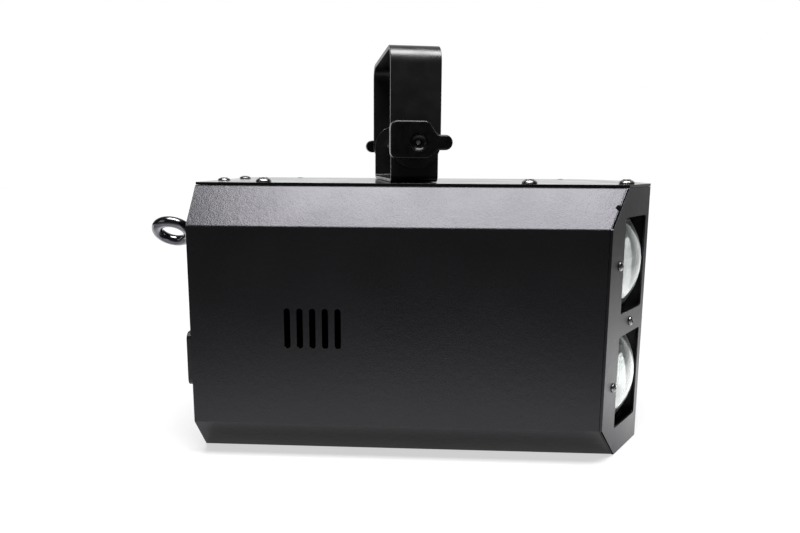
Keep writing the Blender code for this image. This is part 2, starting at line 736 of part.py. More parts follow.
def beam_drum(hinge):
    """An open cup that hangs mouth down over the light column, with two rows of upright slots."""
    height, inner = DRUM_HEIGHT, DRUM_RADIUS - DRUM_WALL
    bore = SHAFT_RADIUS + SHAFT_BORE_GAP
    profile = [
        (bore, height),
        (DRUM_RADIUS, height),
        (DRUM_RADIUS, DRUM_RIM),
        (DRUM_RADIUS + DRUM_WALL, DRUM_RIM),
        (DRUM_RADIUS + DRUM_WALL, 0),
        (inner, 0),
        (inner, height - DRUM_DISC),
        (bore, height - DRUM_DISC),
    ]
    place = upright(DRUM_X, 0, DRUM_TOP - DRUM_HEIGHT)
    drum = turned("beam_drum", profile, place, BLACK_PLASTIC, hinge, DRUM_STEPS, closed=True)
    reach = DRUM_RADIUS + 2 * DRUM_WALL
    for row, centre in ROWS:
        for i in range(DRUM_SLOT_COUNT // 2):
            turn = 2 * math.pi * i / DRUM_SLOT_COUNT + math.pi / DRUM_STEPS
            across = (-math.sin(turn), math.cos(turn), 0)
            out = (math.cos(turn), math.sin(turn), 0)
            start = Vector((DRUM_X, 0, centre)) - Vector(out) * reach
            through = flat([slot(DRUM_SLOT_WIDTH, DRUM_SLOT_LENGTH, steps=DRUM_SLOT_STEPS)], 2 * reach)
            cut(drum, link(f"drum_slot_{row}_{i + 1}", through, frame(start, across, out), parent=hinge))
    for i in range(SPOKE_COUNT):
        turn = 2 * math.pi * i / SPOKE_COUNT
        x = DRUM_X + SPOKE_HOLE_REACH * math.cos(turn)
        y = SPOKE_HOLE_REACH * math.sin(turn)
        hole = rod(SPOKE_HOLE_RADIUS, 4 * DRUM_DISC)
        cut(drum, link(f"drum_hole_{i + 1}", hole, upright(x, y, DRUM_TOP - 3 * DRUM_DISC), parent=hinge))
    return drum


def hub_bottom():
    return DRUM_TOP - DRUM_DISC - SEAT_GAP - HUB_HEIGHT


def drum_hub(hinge):
    """The brass collar that clamps the drum to the motor's shaft from below."""
    loops = [ring(HUB_RADIUS), ring(SHAFT_RADIUS + SHAFT_BORE_GAP)]
    return link("drum_hub", flat(loops, HUB_HEIGHT), upright(DRUM_X, 0, hub_bottom()), BRASS, hinge)


def deck_height():
    return DRUM_TOP + DECK_ABOVE_DRUM


def motor_shaft(hinge):
    """The drum's shaft, from inside the motor's boss down to the end of the hub."""
    shaft = rod(SHAFT_RADIUS, deck_height() + SHEET - hub_bottom(), SMALL_STEPS)
    return link("motor_shaft", shaft, upright(DRUM_X, 0, hub_bottom()), BARE_STEEL, hinge)


def drum_motor():
    """A flat stepper motor on the bridge, with a boss through the bridge's hole and a bore for the shaft."""
    base = deck_height() + SHEET + SEAT_GAP
    body = flat([soft_rectangle(MOTOR_SIZE, MOTOR_SIZE, MOTOR_CORNER)], MOTOR_HEIGHT)
    motor = link("drum_motor", body, upright(DRUM_X, 0, base), BLACK_PAINT)
    loops = [ring(MOTOR_BOSS_RADIUS), ring(SHAFT_RADIUS + SHAFT_BORE_GAP, SMALL_STEPS)]
    boss = flat(loops, MOTOR_BOSS_HEIGHT + SEAT_GAP)
    fuse(motor, link("motor_boss", boss, upright(DRUM_X, 0, base - MOTOR_BOSS_HEIGHT)))
    core = MOTOR_SIZE - 2 * MOTOR_GROOVE
    loops = [rectangle(2 * MOTOR_SIZE, 2 * MOTOR_SIZE), soft_rectangle(core, core, MOTOR_CORNER)]
    for end, level in (("lower", MOTOR_CAP), ("upper", MOTOR_HEIGHT - MOTOR_CAP - MOTOR_GROOVE)):
        groove = flat(loops, MOTOR_GROOVE)
        cut(motor, link(f"motor_groove_{end}", groove, upright(DRUM_X, 0, base + level)))
    return motor


def motor_bridge():
    """A folded hat that hangs under the shell's top flanges and carries the drum's motor."""
    top = SHELL_TOP - SHEET - SEAT_GAP
    deck = deck_height() + SHEET
    end = FLAT_HALF_WIDTH - BRIDGE_FLANGE_INSET
    half = [(end, top), (BRIDGE_DECK + BRIDGE_LEAN, top), (BRIDGE_DECK, deck)]
    line = half + [(-y, z) for y, z in reversed(half)]
    line = rounded(line, FOLD_RADIUS, FOLD_STEPS, closed=False)
    place = along_case(DRUM_X - BRIDGE_WIDTH / 2)
    bridge = folded("motor_bridge", line, BRIDGE_WIDTH, SHEET, place, BARE_STEEL)
    hole = rod(MOTOR_BOSS_RADIUS + SHAFT_BORE_GAP, 4 * SHEET)
    return cut(bridge, link("bridge_hole", hole, upright(DRUM_X, 0, deck - 3 * SHEET)))


def light_column():
    """An extruded heat sink: three flat faces towards the lenses and a comb of fins behind."""
    half = COLUMN_FACE / 2
    corner_x = -COLUMN_FACE * math.sin(NOSE_ANGLE)
    corner_y = half + COLUMN_FACE * math.cos(NOSE_ANGLE)
    root = corner_x - COLUMN_WALL
    back = root - FIN_DEPTH
    outline = [(0, -half), (0, half), (corner_x, corner_y)]
    pitch = (2 * corner_y - FIN_THICKNESS) / (FIN_COUNT - 1)
    for i in range(FIN_COUNT):
        y = corner_y - pitch * i
        outline += [(back, y), (back, y - FIN_THICKNESS)]
        if i < FIN_COUNT - 1:
            outline += [(root, y - FIN_THICKNESS), (root, y - pitch)]
    outline += [(corner_x, -corner_y)]
    floor = SHEET + SEAT_GAP
    height = hub_bottom() - COLUMN_BELOW_HUB - floor
    column = link("light_column", flat([outline], height), upright(DRUM_X, 0, floor), ALUMINIUM)
    margin = 2 * COLUMN_FOOT_MARGIN
    foot = soft_rectangle(margin - back, margin + 2 * corner_y, COLUMN_FOOT_MARGIN, back / 2, 0)
    return fuse(column, link("column_foot", flat([foot], COLUMN_FOOT), upright(DRUM_X, 0, floor)))


def led_board(face, side):
    """A narrow board on one face of the column, with a collimating cup over each of its two emitters."""
    turn = side * NOSE_ANGLE
    normal = Vector((math.cos(turn), math.sin(turn), 0))
    across = Vector((0, 0, 1)).cross(normal)
    edge = Vector((0, side * COLUMN_FACE / 2, 0))
    middle = Vector((DRUM_X, 0, WINDOW_MIDDLE)) + edge + across * side * COLUMN_FACE / 2
    place = frame(middle + normal * SEAT_GAP, across, normal)
    plate = flat([rectangle(BOARD_WIDTH, BOARD_HEIGHT)], BOARD_THICKNESS)
    board = link(f"led_board_{face}", plate, place, WHITE_BOARD)
    for row, rise in (("upper", WINDOW_PITCH / 2), ("lower", -WINDOW_PITCH / 2)):
        cup = rod(COLLIMATOR_BASE, COLLIMATOR_LENGTH, SMALL_STEPS, COLLIMATOR_RADIUS)
        seat = place @ Matrix.Translation((0, rise, BOARD_THICKNESS / 2))
        fuse(board, link(f"{face}_cup_{row}", cup, seat))
    return board


# Hanging bracket


def seen_from_right(place, out):
    """Local X forward, local Y up and local Z towards -Y, this far out from the bracket's middle."""
    return place @ frame((0, -out, 0), (1, 0, 0), (0, -1, 0))


def strip_u(name, strip, outer_width, ends, bend, sheet, place, parent):
    """A strip bent into a U, its web at the first height of ends and its arms' tips at the second."""
    web, tip = ends
    half = outer_width / 2
    line = [(half, tip), (half, web), (-half, web), (-half, tip)]
    if tip > web:
        line = line[::-1]
    line = rounded(line, bend, BEND_STEPS, closed=False)
    across = place @ frame((-strip / 2, 0, 0), (0, 1, 0), (1, 0, 0))
    return folded(name, line, strip, sheet, across, BRACKET_PAINT, parent)


def round_arm_ends(bent, name, strip, away, place, parent):
    """Rounds both arms' ends about the pivot; away is 1 for arms that rise from it and -1 otherwise."""
    start = math.pi if away > 0 else 0.0
    angles = [start + math.pi * i / ARM_STEPS for i in range(ARM_STEPS + 1)]
    arc = [(strip / 2 * math.cos(angle), strip / 2 * math.sin(angle)) for angle in angles]
    reach = away * 2 * YOKE_ABOVE_LID
    outline = arc + [(arc[-1][0], reach), (arc[0][0], reach)]
    block = flat([outline], 2 * YOKE_OUTER_WIDTH)
    along = seen_from_right(place, -YOKE_OUTER_WIDTH)
    keep(bent, link(f"{name}_arm_shape", block, along, parent=parent))
    bore = rod(STUD_RADIUS + STUD_GAP, 2 * YOKE_OUTER_WIDTH, STUD_STEPS)
    return cut(bent, link(f"{name}_pivot_bore", bore, along, parent=parent))


def base_bracket(swivel, turned_place, pivot_place):
    """The lower U, held to the lid by one bolt so that it can swivel."""
    ends = (SEAT_GAP - PIVOT_ABOVE_LID, BASE_STRIP / 2)
    base = strip_u(
        "base_bracket", BASE_STRIP, BASE_OUTER_WIDTH, ends, BASE_BEND, BRACKET_SHEET, pivot_place, swivel
    )
    round_arm_ends(base, "base", BASE_STRIP, -1, pivot_place, swivel)
    hole = rod(STUD_RADIUS + STUD_GAP, 4 * BRACKET_SHEET, STUD_STEPS)
    return cut(base, link("base_bolt_hole", hole, turned_place, parent=swivel))


def yoke_bracket(tilt, pivot_place):
    """The upper U, with a clamp hole and two fixing holes in its web."""
    top = YOKE_ABOVE_LID - PIVOT_ABOVE_LID
    ends = (top, -YOKE_STRIP / 2)
    yoke = strip_u(
        "yoke_bracket", YOKE_STRIP, YOKE_OUTER_WIDTH, ends, YOKE_BEND, YOKE_SHEET, pivot_place, tilt
    )
    round_arm_ends(yoke, "yoke", YOKE_STRIP, 1, pivot_place, tilt)
    for name, radius, y in (
        ("clamp_hole", CLAMP_HOLE_RADIUS, 0),
        ("fixing_hole_right", SIDE_HOLE_RADIUS, -SIDE_HOLE_SPACING / 2),
        ("fixing_hole_left", SIDE_HOLE_RADIUS, SIDE_HOLE_SPACING / 2),
    ):
        place = pivot_place @ Matrix.Translation((0, y, top - 2 * YOKE_SHEET))
        cut(yoke, link(name, rod(radius, 4 * YOKE_SHEET), place, parent=tilt))
    return yoke


def pivot_washer(side, place, swivel):
    """The friction washer between a yoke arm and the base arm inside it."""
    outer = YOKE_OUTER_WIDTH / 2 - YOKE_SHEET - SEAT_GAP
    inner = BASE_OUTER_WIDTH / 2 + SEAT_GAP
    loops = [ring(WASHER_RADIUS), ring(STUD_RADIUS + STUD_GAP, STUD_STEPS)]
    washer = flat(loops, outer - inner)
    return link(f"pivot_washer_{side}", washer, seen_from_right(place, inner), BLACK_PLASTIC, swivel)


def pivot_nut(side, place, swivel):
    """The nut welded inside a base arm, which a clamp knob's stud screws into."""
    out = BASE_OUTER_WIDTH / 2 - BRACKET_SHEET - SEAT_GAP - NUT_HEIGHT
    loops = [hexagon(NUT_ACROSS), ring(STUD_RADIUS + STUD_GAP, STUD_STEPS)]
    return link(f"pivot_nut_{side}", flat(loops, NUT_HEIGHT), seen_from_right(place, out), BARE_STEEL, swivel)


def clamp_knob(side, place, hinge):
    """A moulded knob with a broad paddle and a narrow wing, on a stud that clamps the yoke arm."""
    collar_start = YOKE_OUTER_WIDTH / 2 + SEAT_GAP
    outline = [
        (KNOB_WING_REACH, KNOB_WING_HALF),
        (KNOB_WING_ROOT, KNOB_WING_HALF),
        (KNOB_PADDLE_END, KNOB_PADDLE_TOP),
        (-KNOB_PADDLE_REACH, KNOB_PADDLE_TOP),
        (-KNOB_PADDLE_REACH, -KNOB_PADDLE_BOTTOM),
        (KNOB_PADDLE_END, -KNOB_PADDLE_BOTTOM),
        (KNOB_WING_ROOT, -KNOB_WING_HALF),
        (KNOB_WING_REACH, -KNOB_WING_HALF),
    ]
    handle = flat([rounded(outline, KNOB_WING_HALF, KNOB_CORNER_STEPS)], KNOB_THICKNESS)
    start = collar_start + KNOB_COLLAR_LENGTH
    knob = link(f"clamp_knob_{side}", handle, seen_from_right(place, start), BLACK_PLASTIC, hinge)
    collar = rod(KNOB_COLLAR_RADIUS, KNOB_COLLAR_LENGTH * 1.1)
    stud_start = BASE_OUTER_WIDTH / 2 - BRACKET_SHEET - NUT_HEIGHT - 2 * SHEET
    stud = rod(STUD_RADIUS, start - stud_start + KNOB_THICKNESS / 3, STUD_STEPS)
    fuse(knob, link(f"knob_collar_{side}", collar, seen_from_right(place, collar_start), parent=hinge))
    fuse(knob, link(f"knob_stud_{side}", stud, seen_from_right(place, stud_start), parent=hinge))
    widening = KNOB_DIMPLE_RADIUS - KNOB_DIMPLE_FLOOR
    dimple = rod(KNOB_DIMPLE_FLOOR, 2 * KNOB_DIMPLE_DEPTH, top_radius=KNOB_DIMPLE_RADIUS + widening)
    face = start + KNOB_THICKNESS - KNOB_DIMPLE_DEPTH
    return cut(knob, link(f"knob_dimple_{side}", dimple, seen_from_right(place, face), parent=hinge))


def swivel_bolt(turned_place, swivel):
    """The bolt through the lid that the base bracket turns on, its head on the bracket."""
    seat = SEAT_GAP + BRACKET_SHEET + SEAT_GAP
    length = seat + LID_SHEET + BOLT_BELOW_LID
    head = flat([hexagon(BOLT_HEAD_ACROSS)], BOLT_HEAD_HEIGHT)
    place = turned_place @ Matrix.Translation((0, 0, seat))
    bolt = link("swivel_bolt", head, place, BARE_STEEL, swivel)
    shank = rod(STUD_RADIUS, length + BOLT_HEAD_HEIGHT / 2, STUD_STEPS)
    place = turned_place @ Matrix.Translation((0, 0, seat - length))
    return fuse(bolt, link("swivel_bolt_shank", shank, place, parent=swivel))


def swivel_nut(turned_place, swivel):
    """The locking nut under the lid."""
    loops = [hexagon(NUT_ACROSS), ring(STUD_RADIUS + STUD_GAP, STUD_STEPS)]
    place = turned_place @ Matrix.Translation((0, 0, -LID_SHEET - SEAT_GAP - NUT_HEIGHT))
    return link("swivel_nut", flat(loops, NUT_HEIGHT), place, BARE_STEEL, swivel)


# Safety eye


def safety_eye():
    """A ring on a collared shank through the rear panel, as left by the spanner that tightened it."""
    place = Matrix.Translation((REAR_OUTER - SEAT_GAP, EYE_Y, EYE_Z)) @ Matrix.Rotation(EYE_ROLL, 4, "X")
    centre = EYE_CENTRE_BEHIND - REAR_INSET
    section = [(EYE_RING + x, z) for x, z in ring(EYE_WIRE, EYE_WIRE_STEPS)][::-1]
    lying = place @ Matrix.Translation((-centre, 0, 0)) @ Matrix.Rotation(math.pi / 2, 4, "X")
    eye = turned("safety_eye", section, lying, DARK_STEEL, steps=EYE_STEPS, closed=True)
    backward = place @ frame((0, 0, 0), (0, -1, 0), (-1, 0, 0))
    fuse(eye, link("eye_collar", rod(EYE_COLLAR_RADIUS, EYE_COLLAR), backward))
    sunk = EYE_COLLAR / 2
    neck = rod(EYE_NECK_RADIUS, centre - EYE_RING - sunk, top_radius=EYE_WIRE)
    fuse(eye, link("eye_neck", neck, backward @ Matrix.Translation((0, 0, sunk))))
    thread = rod(STUD_RADIUS, EYE_THREAD_LENGTH + sunk, STUD_STEPS)
    return fuse(eye, link("eye_thread", thread, backward @ Matrix.Translation((0, 0, -EYE_THREAD_LENGTH))))


def safety_eye_nut():
    loops = [hexagon(NUT_ACROSS), ring(STUD_RADIUS + STUD_GAP, STUD_STEPS)]
    place = rearward(REAR_INNER + SEAT_GAP + NUT_HEIGHT, EYE_Y, EYE_Z)
    return link("safety_eye_nut", flat(loops, NUT_HEIGHT), place, BARE_STEEL)


# Rear panel and what it carries


def panel_loop(loop, y, z):
    """A loop drawn on the rear panel as (y, z), from one drawn as seen from behind about its own middle."""
    return [(y - px, z + pz) for px, pz in loop]


def buttons_y():
    first = DISPLAY_Y + BUTTON_PITCH * (BUTTON_COUNT - 1) / 2
    return [first - BUTTON_PITCH * i for i in range(BUTTON_COUNT)]


def rear_panel():
    """The flat rear panel inside the shell's end, with its openings and a flange under the lid."""
    inset = SHEET + SEAT_GAP
    flat_half = FLAT_HALF_WIDTH - TOP_FLANGE - SEAT_GAP
    half = case_section(inset, SHELL_TOP)[:4] + [(flat_half, SHELL_TOP - inset), (flat_half, SHELL_TOP)]
    loops = [half + [(-y, z) for y, z in reversed(half)]]
    loops.append(panel_loop(ring(FAN_BORE_RADIUS, FAN_BORE_STEPS), FAN_Y, FAN_Z))
    cut_width, cut_height = INLET_BODY_WIDTH + PANEL_HOLE_GAP, INLET_BODY_HEIGHT + PANEL_HOLE_GAP
    loops.append(panel_loop(rectangle(cut_width, cut_height), INLET_Y, INLET_Z))
    for y in (SOCKET_IN_Y, SOCKET_OUT_Y):
        loops.append(panel_loop(ring(SOCKET_RADIUS + PANEL_HOLE_GAP), y, SOCKET_Z))
    window_width, window_height = DISPLAY_WIDTH + PANEL_HOLE_GAP, DISPLAY_HEIGHT + PANEL_HOLE_GAP
    loops.append(panel_loop(rectangle(window_width, window_height), DISPLAY_Y, DISPLAY_Z))
    loops.append(panel_loop(ring(MICROPHONE_HOLE_RADIUS, SMALL_STEPS), MICROPHONE_Y, MICROPHONE_Z))
    loops.append(panel_loop(ring(STUD_RADIUS + STUD_GAP, STUD_STEPS), EYE_Y, EYE_Z))
    panel = link("rear_panel", flat(loops, SHEET), along_case(REAR_OUTER), BLACK_PAINT)
    lap = SHEET / 2
    flange = box(REAR_FLANGE - lap, 2 * (flat_half - lap), SHEET)
    place = upright(REAR_OUTER + (REAR_FLANGE + lap) / 2, 0, SHELL_TOP - SHEET - FLANGE_DROP)
    fuse(panel, link("rear_flange", flange, place))
    for i, y in enumerate(buttons_y()):
        hole = rod(BUTTON_RADIUS + FIT_GAP, 4 * SHEET, SMALL_STEPS)
        cut(panel, link(f"button_hole_{i + 1}", hole, rearward(REAR_INNER + SHEET, y, BUTTON_Z)))
    return panel


def fan_frame():
    """The fan's moulded square frame, with a round bore and three struts that hold the motor's cup."""
    front = REAR_INNER + SEAT_GAP + FAN_DEPTH
    place = rearward(front, FAN_Y, FAN_Z)
    loops = [soft_rectangle(FAN_SIZE, FAN_SIZE, FAN_CORNER), ring(FAN_BORE_RADIUS, FAN_BORE_STEPS)]
    made = link("fan_frame", flat(loops, FAN_DEPTH), place, BLACK_PLASTIC)
    fuse(made, link("fan_cup", rod(FAN_HUB_RADIUS, FAN_STRUT_DEPTH), place))
    for i in range(3):
        spin = Matrix.Rotation(2 * math.pi * i / 3 + math.pi / 6, 4, "Z")
        reach = FAN_BORE_RADIUS + FAN_CORNER / 2
        strut = box(reach, FAN_STRUT_WIDTH, FAN_STRUT_DEPTH)
        fuse(made, link(f"fan_strut_{i + 1}", strut, place @ spin @ Matrix.Translation((reach / 2, 0, 0))))
    return made


def fan_rotor(hinge):
    """Seven pitched blades round a hub that turns in front of the frame's cup."""
    front = REAR_INNER + SEAT_GAP + FAN_DEPTH
    rise = FAN_STRUT_DEPTH + 2 * SEAT_GAP
    place = rearward(front, FAN_Y, FAN_Z) @ Matrix.Translation((0, 0, rise))
    height = FAN_DEPTH - rise - FAN_RECESS
    rotor = link("fan_rotor", rod(FAN_HUB_RADIUS, height), place, BLACK_PLASTIC, hinge)
    root = FAN_HUB_RADIUS - FAN_BLADE_THICKNESS
    span = FAN_BLADE_REACH - root
    rake = Matrix.Rotation(FAN_BLADE_PITCH, 4, "X")
    chord = (height - FAN_BLADE_THICKNESS) / math.cos(FAN_BLADE_PITCH)
    for i in range(FAN_BLADE_COUNT):
        spin = Matrix.Rotation(2 * math.pi * i / FAN_BLADE_COUNT, 4, "Z")
        middle = Matrix.Translation((root + span / 2, 0, height / 2))
        drop = Matrix.Translation((0, 0, -chord / 2))
        blade = box(span, FAN_BLADE_THICKNESS, chord)
        fuse(rotor, link(f"fan_blade_{i + 1}", blade, place @ spin @ middle @ rake @ drop, parent=hinge))
    return rotor


def fan_guard():
    """A wire guard of four rings welded to a cross, over the fan's opening."""
    place = rearward(REAR_OUTER - SEAT_GAP - GUARD_WIRE, FAN_Y, FAN_Z)
    bars = [rod(GUARD_WIRE, 2 * GUARD_REACH, GUARD_WIRE_STEPS) for i in range(2)]
    turns = [Matrix.Rotation(math.pi / 4 + math.pi / 2 * i, 4, "Z") for i in range(2)]
    along = frame((-GUARD_REACH, 0, 0), (0, 1, 0), (1, 0, 0))
    guard = link("fan_guard", bars[0], place @ turns[0] @ along, BARE_STEEL)
    fuse(guard, link("guard_bar", bars[1], place @ turns[1] @ along))
    for i in range(GUARD_RING_COUNT):
        radius = GUARD_FIRST_RING + GUARD_RING_PITCH * i
        section = [(radius + x, z + GUARD_WIRE) for x, z in ring(GUARD_WIRE, GUARD_WIRE_STEPS)]
        fuse(guard, turned(f"guard_ring_{i + 1}", section[::-1], place, steps=ROUND_STEPS, closed=True))
    return guard


def power_inlet():
    """A mains inlet with a raised bezel, three pins in a mouth and a pocket for the fuse drawer."""
    outer = REAR_OUTER - SEAT_GAP
    place = rearward(outer, INLET_Y, INLET_Z)
    bezel = flat([soft_rectangle(INLET_WIDTH, INLET_HEIGHT, INLET_CORNER)], INLET_BEZEL)
    inlet = link("power_inlet", bezel, place, BLACK_PLASTIC)
    body = flat([rectangle(INLET_BODY_WIDTH, INLET_BODY_HEIGHT)], INLET_BODY_DEPTH + SHEET)
    fuse(inlet, link("inlet_body", body, place @ Matrix.Translation((0, 0, -INLET_BODY_DEPTH))))
    w, h = INLET_MOUTH_WIDTH / 2, INLET_MOUTH_HEIGHT / 2
    key = h - INLET_KEY
    half = [(w, -h), (w, key), (w - INLET_KEY, h)]
    mouth = rounded(half + [(-x, y) for x, y in reversed(half)], INLET_MOUTH_CORNER)
    floor = INLET_BEZEL - INLET_MOUTH_DEPTH
    into = place @ Matrix.Translation((0, INLET_MOUTH_RISE, floor))
    cut(inlet, link("inlet_mouth", flat([mouth], 2 * INLET_MOUTH_DEPTH), into))
    pocket = flat([rectangle(DRAWER_WIDTH + 2 * FIT_GAP, DRAWER_HEIGHT + 2 * FIT_GAP)], 2 * DRAWER_DEPTH)
    pocket_floor = INLET_BEZEL - DRAWER_DEPTH - FIT_GAP
    cut(inlet, link("drawer_pocket", pocket, place @ Matrix.Translation((0, -DRAWER_DROP, pocket_floor))))
    for i in (-1, 0, 1):
        pin = box(INLET_PIN_WIDTH, INLET_PIN_HEIGHT, INLET_PIN_LENGTH + SHEET)
        rise = INLET_PIN_OFFSET if i == 0 else -INLET_PIN_OFFSET
        shift = Matrix.Translation((i * INLET_PIN_SPACING, rise, -SHEET))
        fuse(inlet, link(f"inlet_pin_{i + 2}", pin, into @ shift))
    return inlet


def fuse_drawer(slide):
    """The drawer that carries the fuse, with a lip for a fingernail."""
    place = rearward(REAR_OUTER - SEAT_GAP - INLET_BEZEL + DRAWER_DEPTH, INLET_Y, INLET_Z - DRAWER_DROP)
    body = flat([rectangle(DRAWER_WIDTH, DRAWER_HEIGHT)], DRAWER_DEPTH)
    drawer = link("fuse_drawer", body, place, BLACK_PLASTIC, slide)
    well = box(DRAWER_WIDTH - 2 * DRAWER_WALL, DRAWER_HEIGHT, DRAWER_DEPTH - DRAWER_WALL - DRAWER_FRONT)
    shift = Matrix.Translation((0, DRAWER_WALL, DRAWER_WALL))
    cut(drawer, link("drawer_well", well, place @ shift, parent=slide))
    lip = box(DRAWER_LIP_WIDTH, DRAWER_LIP, 2 * DRAWER_LIP)
    grip = Matrix.Translation((0, (DRAWER_LIP - DRAWER_HEIGHT) / 2, DRAWER_DEPTH - DRAWER_LIP))
    return fuse(drawer, link("drawer_lip", lip, place @ grip, parent=slide))


def data_socket(name, y, has_pins):
    """A three way round control socket in a flange; the input has pins and the output has holes."""
    place = rearward(REAR_OUTER - SEAT_GAP, y, SOCKET_Z)
    flange = flat([soft_rectangle(SOCKET_FLANGE_WIDTH, SOCKET_FLANGE_HEIGHT, WINDOW_CORNER)], SOCKET_FLANGE)
    socket = link(name, flange, place, BLACK_PLASTIC)
    barrel = rod(SOCKET_RADIUS, SOCKET_DEPTH + SOCKET_FLANGE / 2)
    fuse(socket, link(f"{name}_barrel", barrel, place @ Matrix.Translation((0, 0, -SOCKET_DEPTH))))
    into = place @ Matrix.Translation((0, 0, SOCKET_FLANGE - SOCKET_MOUTH_DEPTH))
    if has_pins:
        cut(socket, link(f"{name}_mouth", rod(SOCKET_MOUTH_RADIUS, 2 * SOCKET_MOUTH_DEPTH), into))
    for i, (x, y) in enumerate(ring(SOCKET_PIN_CIRCLE, 3, start=math.pi / 2)):
        if has_pins:
            pin = rod(SOCKET_PIN_RADIUS, SOCKET_PIN_LENGTH + SHEET, SMALL_STEPS)
            fuse(socket, link(f"{name}_pin_{i + 1}", pin, into @ Matrix.Translation((x, y, -SHEET))))
        else:
            hole = rod(SOCKET_PIN_RADIUS + FIT_GAP, 2 * SOCKET_MOUTH_DEPTH, SMALL_STEPS)
            cut(socket, link(f"{name}_hole_{i + 1}", hole, into @ Matrix.Translation((x, y, 0))))
    return socket


def display_window():
    """The display's tinted window, with a lip that covers the edge of its opening."""
    place = rearward(REAR_OUTER - SEAT_GAP, DISPLAY_Y, DISPLAY_Z)
    width, height = DISPLAY_WIDTH + 2 * DISPLAY_LIP, DISPLAY_HEIGHT + 2 * DISPLAY_LIP
    lip = flat([soft_rectangle(width, height, DISPLAY_LIP)], DISPLAY_LIP)
    window = link("display_window", lip, place, DISPLAY_RED)
    body = box(DISPLAY_WIDTH, DISPLAY_HEIGHT, DISPLAY_DEPTH + DISPLAY_LIP / 2)
    return fuse(window, link("display_body", body, place @ Matrix.Translation((0, 0, -DISPLAY_DEPTH))))


def button_place(y):
    """Where a button's cap ends: proud of the panel by its own rise."""
    return rearward(REAR_OUTER - BUTTON_PROUD, y, BUTTON_Z)


def menu_button(number, y, slide):
    """A round cap through the panel on a flange that keeps it in."""
    flange = -BUTTON_PROUD - SHEET - SEAT_GAP
    profile = [
        (0, 0),
        (BUTTON_RADIUS, 0),
        (BUTTON_RADIUS, flange),
        (BUTTON_FLANGE_RADIUS, flange),
        (BUTTON_FLANGE_RADIUS, flange - BUTTON_FLANGE),
        (BUTTON_STEM_RADIUS, flange - BUTTON_FLANGE),
        (BUTTON_STEM_RADIUS, -BUTTON_LENGTH),
        (0, -BUTTON_LENGTH),
    ]
    return turned(f"menu_button_{number}", profile, button_place(y), BLACK_PLASTIC, slide, SMALL_STEPS)


def board_face():
    """Where the control board's rear face stands, its switches clear of a fully pressed button."""
    return REAR_OUTER - BUTTON_PROUD + BUTTON_LENGTH + BUTTON_TRAVEL + FIT_GAP + SWITCH_HEIGHT


def control_board():
    """The board behind the display, with a switch under each button."""
    height = CONTROL_BOARD_TOP - CONTROL_BOARD_BOTTOM
    middle = (CONTROL_BOARD_TOP + CONTROL_BOARD_BOTTOM) / 2
    place = rearward(board_face() + BOARD_THICKNESS, DISPLAY_Y, middle)
    plate = flat([rectangle(CONTROL_BOARD_WIDTH, height)], BOARD_THICKNESS)
    board = link("control_board", plate, place, GREEN_BOARD)
    for i, y in enumerate(buttons_y()):
        body = box(SWITCH_SIZE, SWITCH_SIZE, SWITCH_HEIGHT + BOARD_THICKNESS / 2)
        spot = rearward(board_face() + BOARD_THICKNESS / 2, y, BUTTON_Z)
        fuse(board, link(f"switch_body_{i + 1}", body, spot))
    return board


def microphone():
    """The capsule that hears the music, behind its own small hole."""
    place = rearward(REAR_INNER + SEAT_GAP + MICROPHONE_LENGTH, MICROPHONE_Y, MICROPHONE_Z)
    return link("microphone", rod(MICROPHONE_RADIUS, MICROPHONE_LENGTH), place, ALUMINIUM)


def supply_board():
    """The mains supply board on four standoffs, with its transformer, coil, capacitors and heat sink."""
    x = REAR_X + SUPPLY_FROM_REAR
    floor = SHEET + SEAT_GAP
    deck = floor + STANDOFF_HEIGHT
    plate = box(SUPPLY_LENGTH, SUPPLY_WIDTH, BOARD_THICKNESS)
    board = link("supply_board", plate, upright(x, SUPPLY_Y, deck), GREEN_BOARD)
    corners = rectangle(SUPPLY_LENGTH - 2 * STANDOFF_INSET, SUPPLY_WIDTH - 2 * STANDOFF_INSET, x, SUPPLY_Y)
    for i, (a, b) in enumerate(corners):
        post = rod(STANDOFF_RADIUS, STANDOFF_HEIGHT + BOARD_THICKNESS / 2, SMALL_STEPS)
        fuse(board, link(f"standoff_{i + 1}", post, upright(a, b, floor)))
    seat = deck + BOARD_THICKNESS / 2
    capacitor = (OUTPUT_CAPACITOR_RADIUS, OUTPUT_CAPACITOR_HEIGHT)
    pieces = [
        ("transformer", box(*TRANSFORMER_SIZE), TRANSFORMER_PLACE),
        ("heat_sink", box(*HEAT_SINK_SIZE), HEAT_SINK_PLACE),
        ("coil", rod(COIL_RADIUS, COIL_HEIGHT), COIL_PLACE),
        ("input_capacitor", rod(INPUT_CAPACITOR_RADIUS, INPUT_CAPACITOR_HEIGHT), INPUT_CAPACITOR_PLACE),
        ("output_capacitor_1", rod(*capacitor), OUTPUT_CAPACITOR_PLACES[0]),
        ("output_capacitor_2", rod(*capacitor), OUTPUT_CAPACITOR_PLACES[1]),
    ]
    for name, mesh, (a, b) in pieces:
        fuse(board, link(f"supply_{name}", mesh, upright(x + a, SUPPLY_Y + b, seat)))
    return board


# Assembly


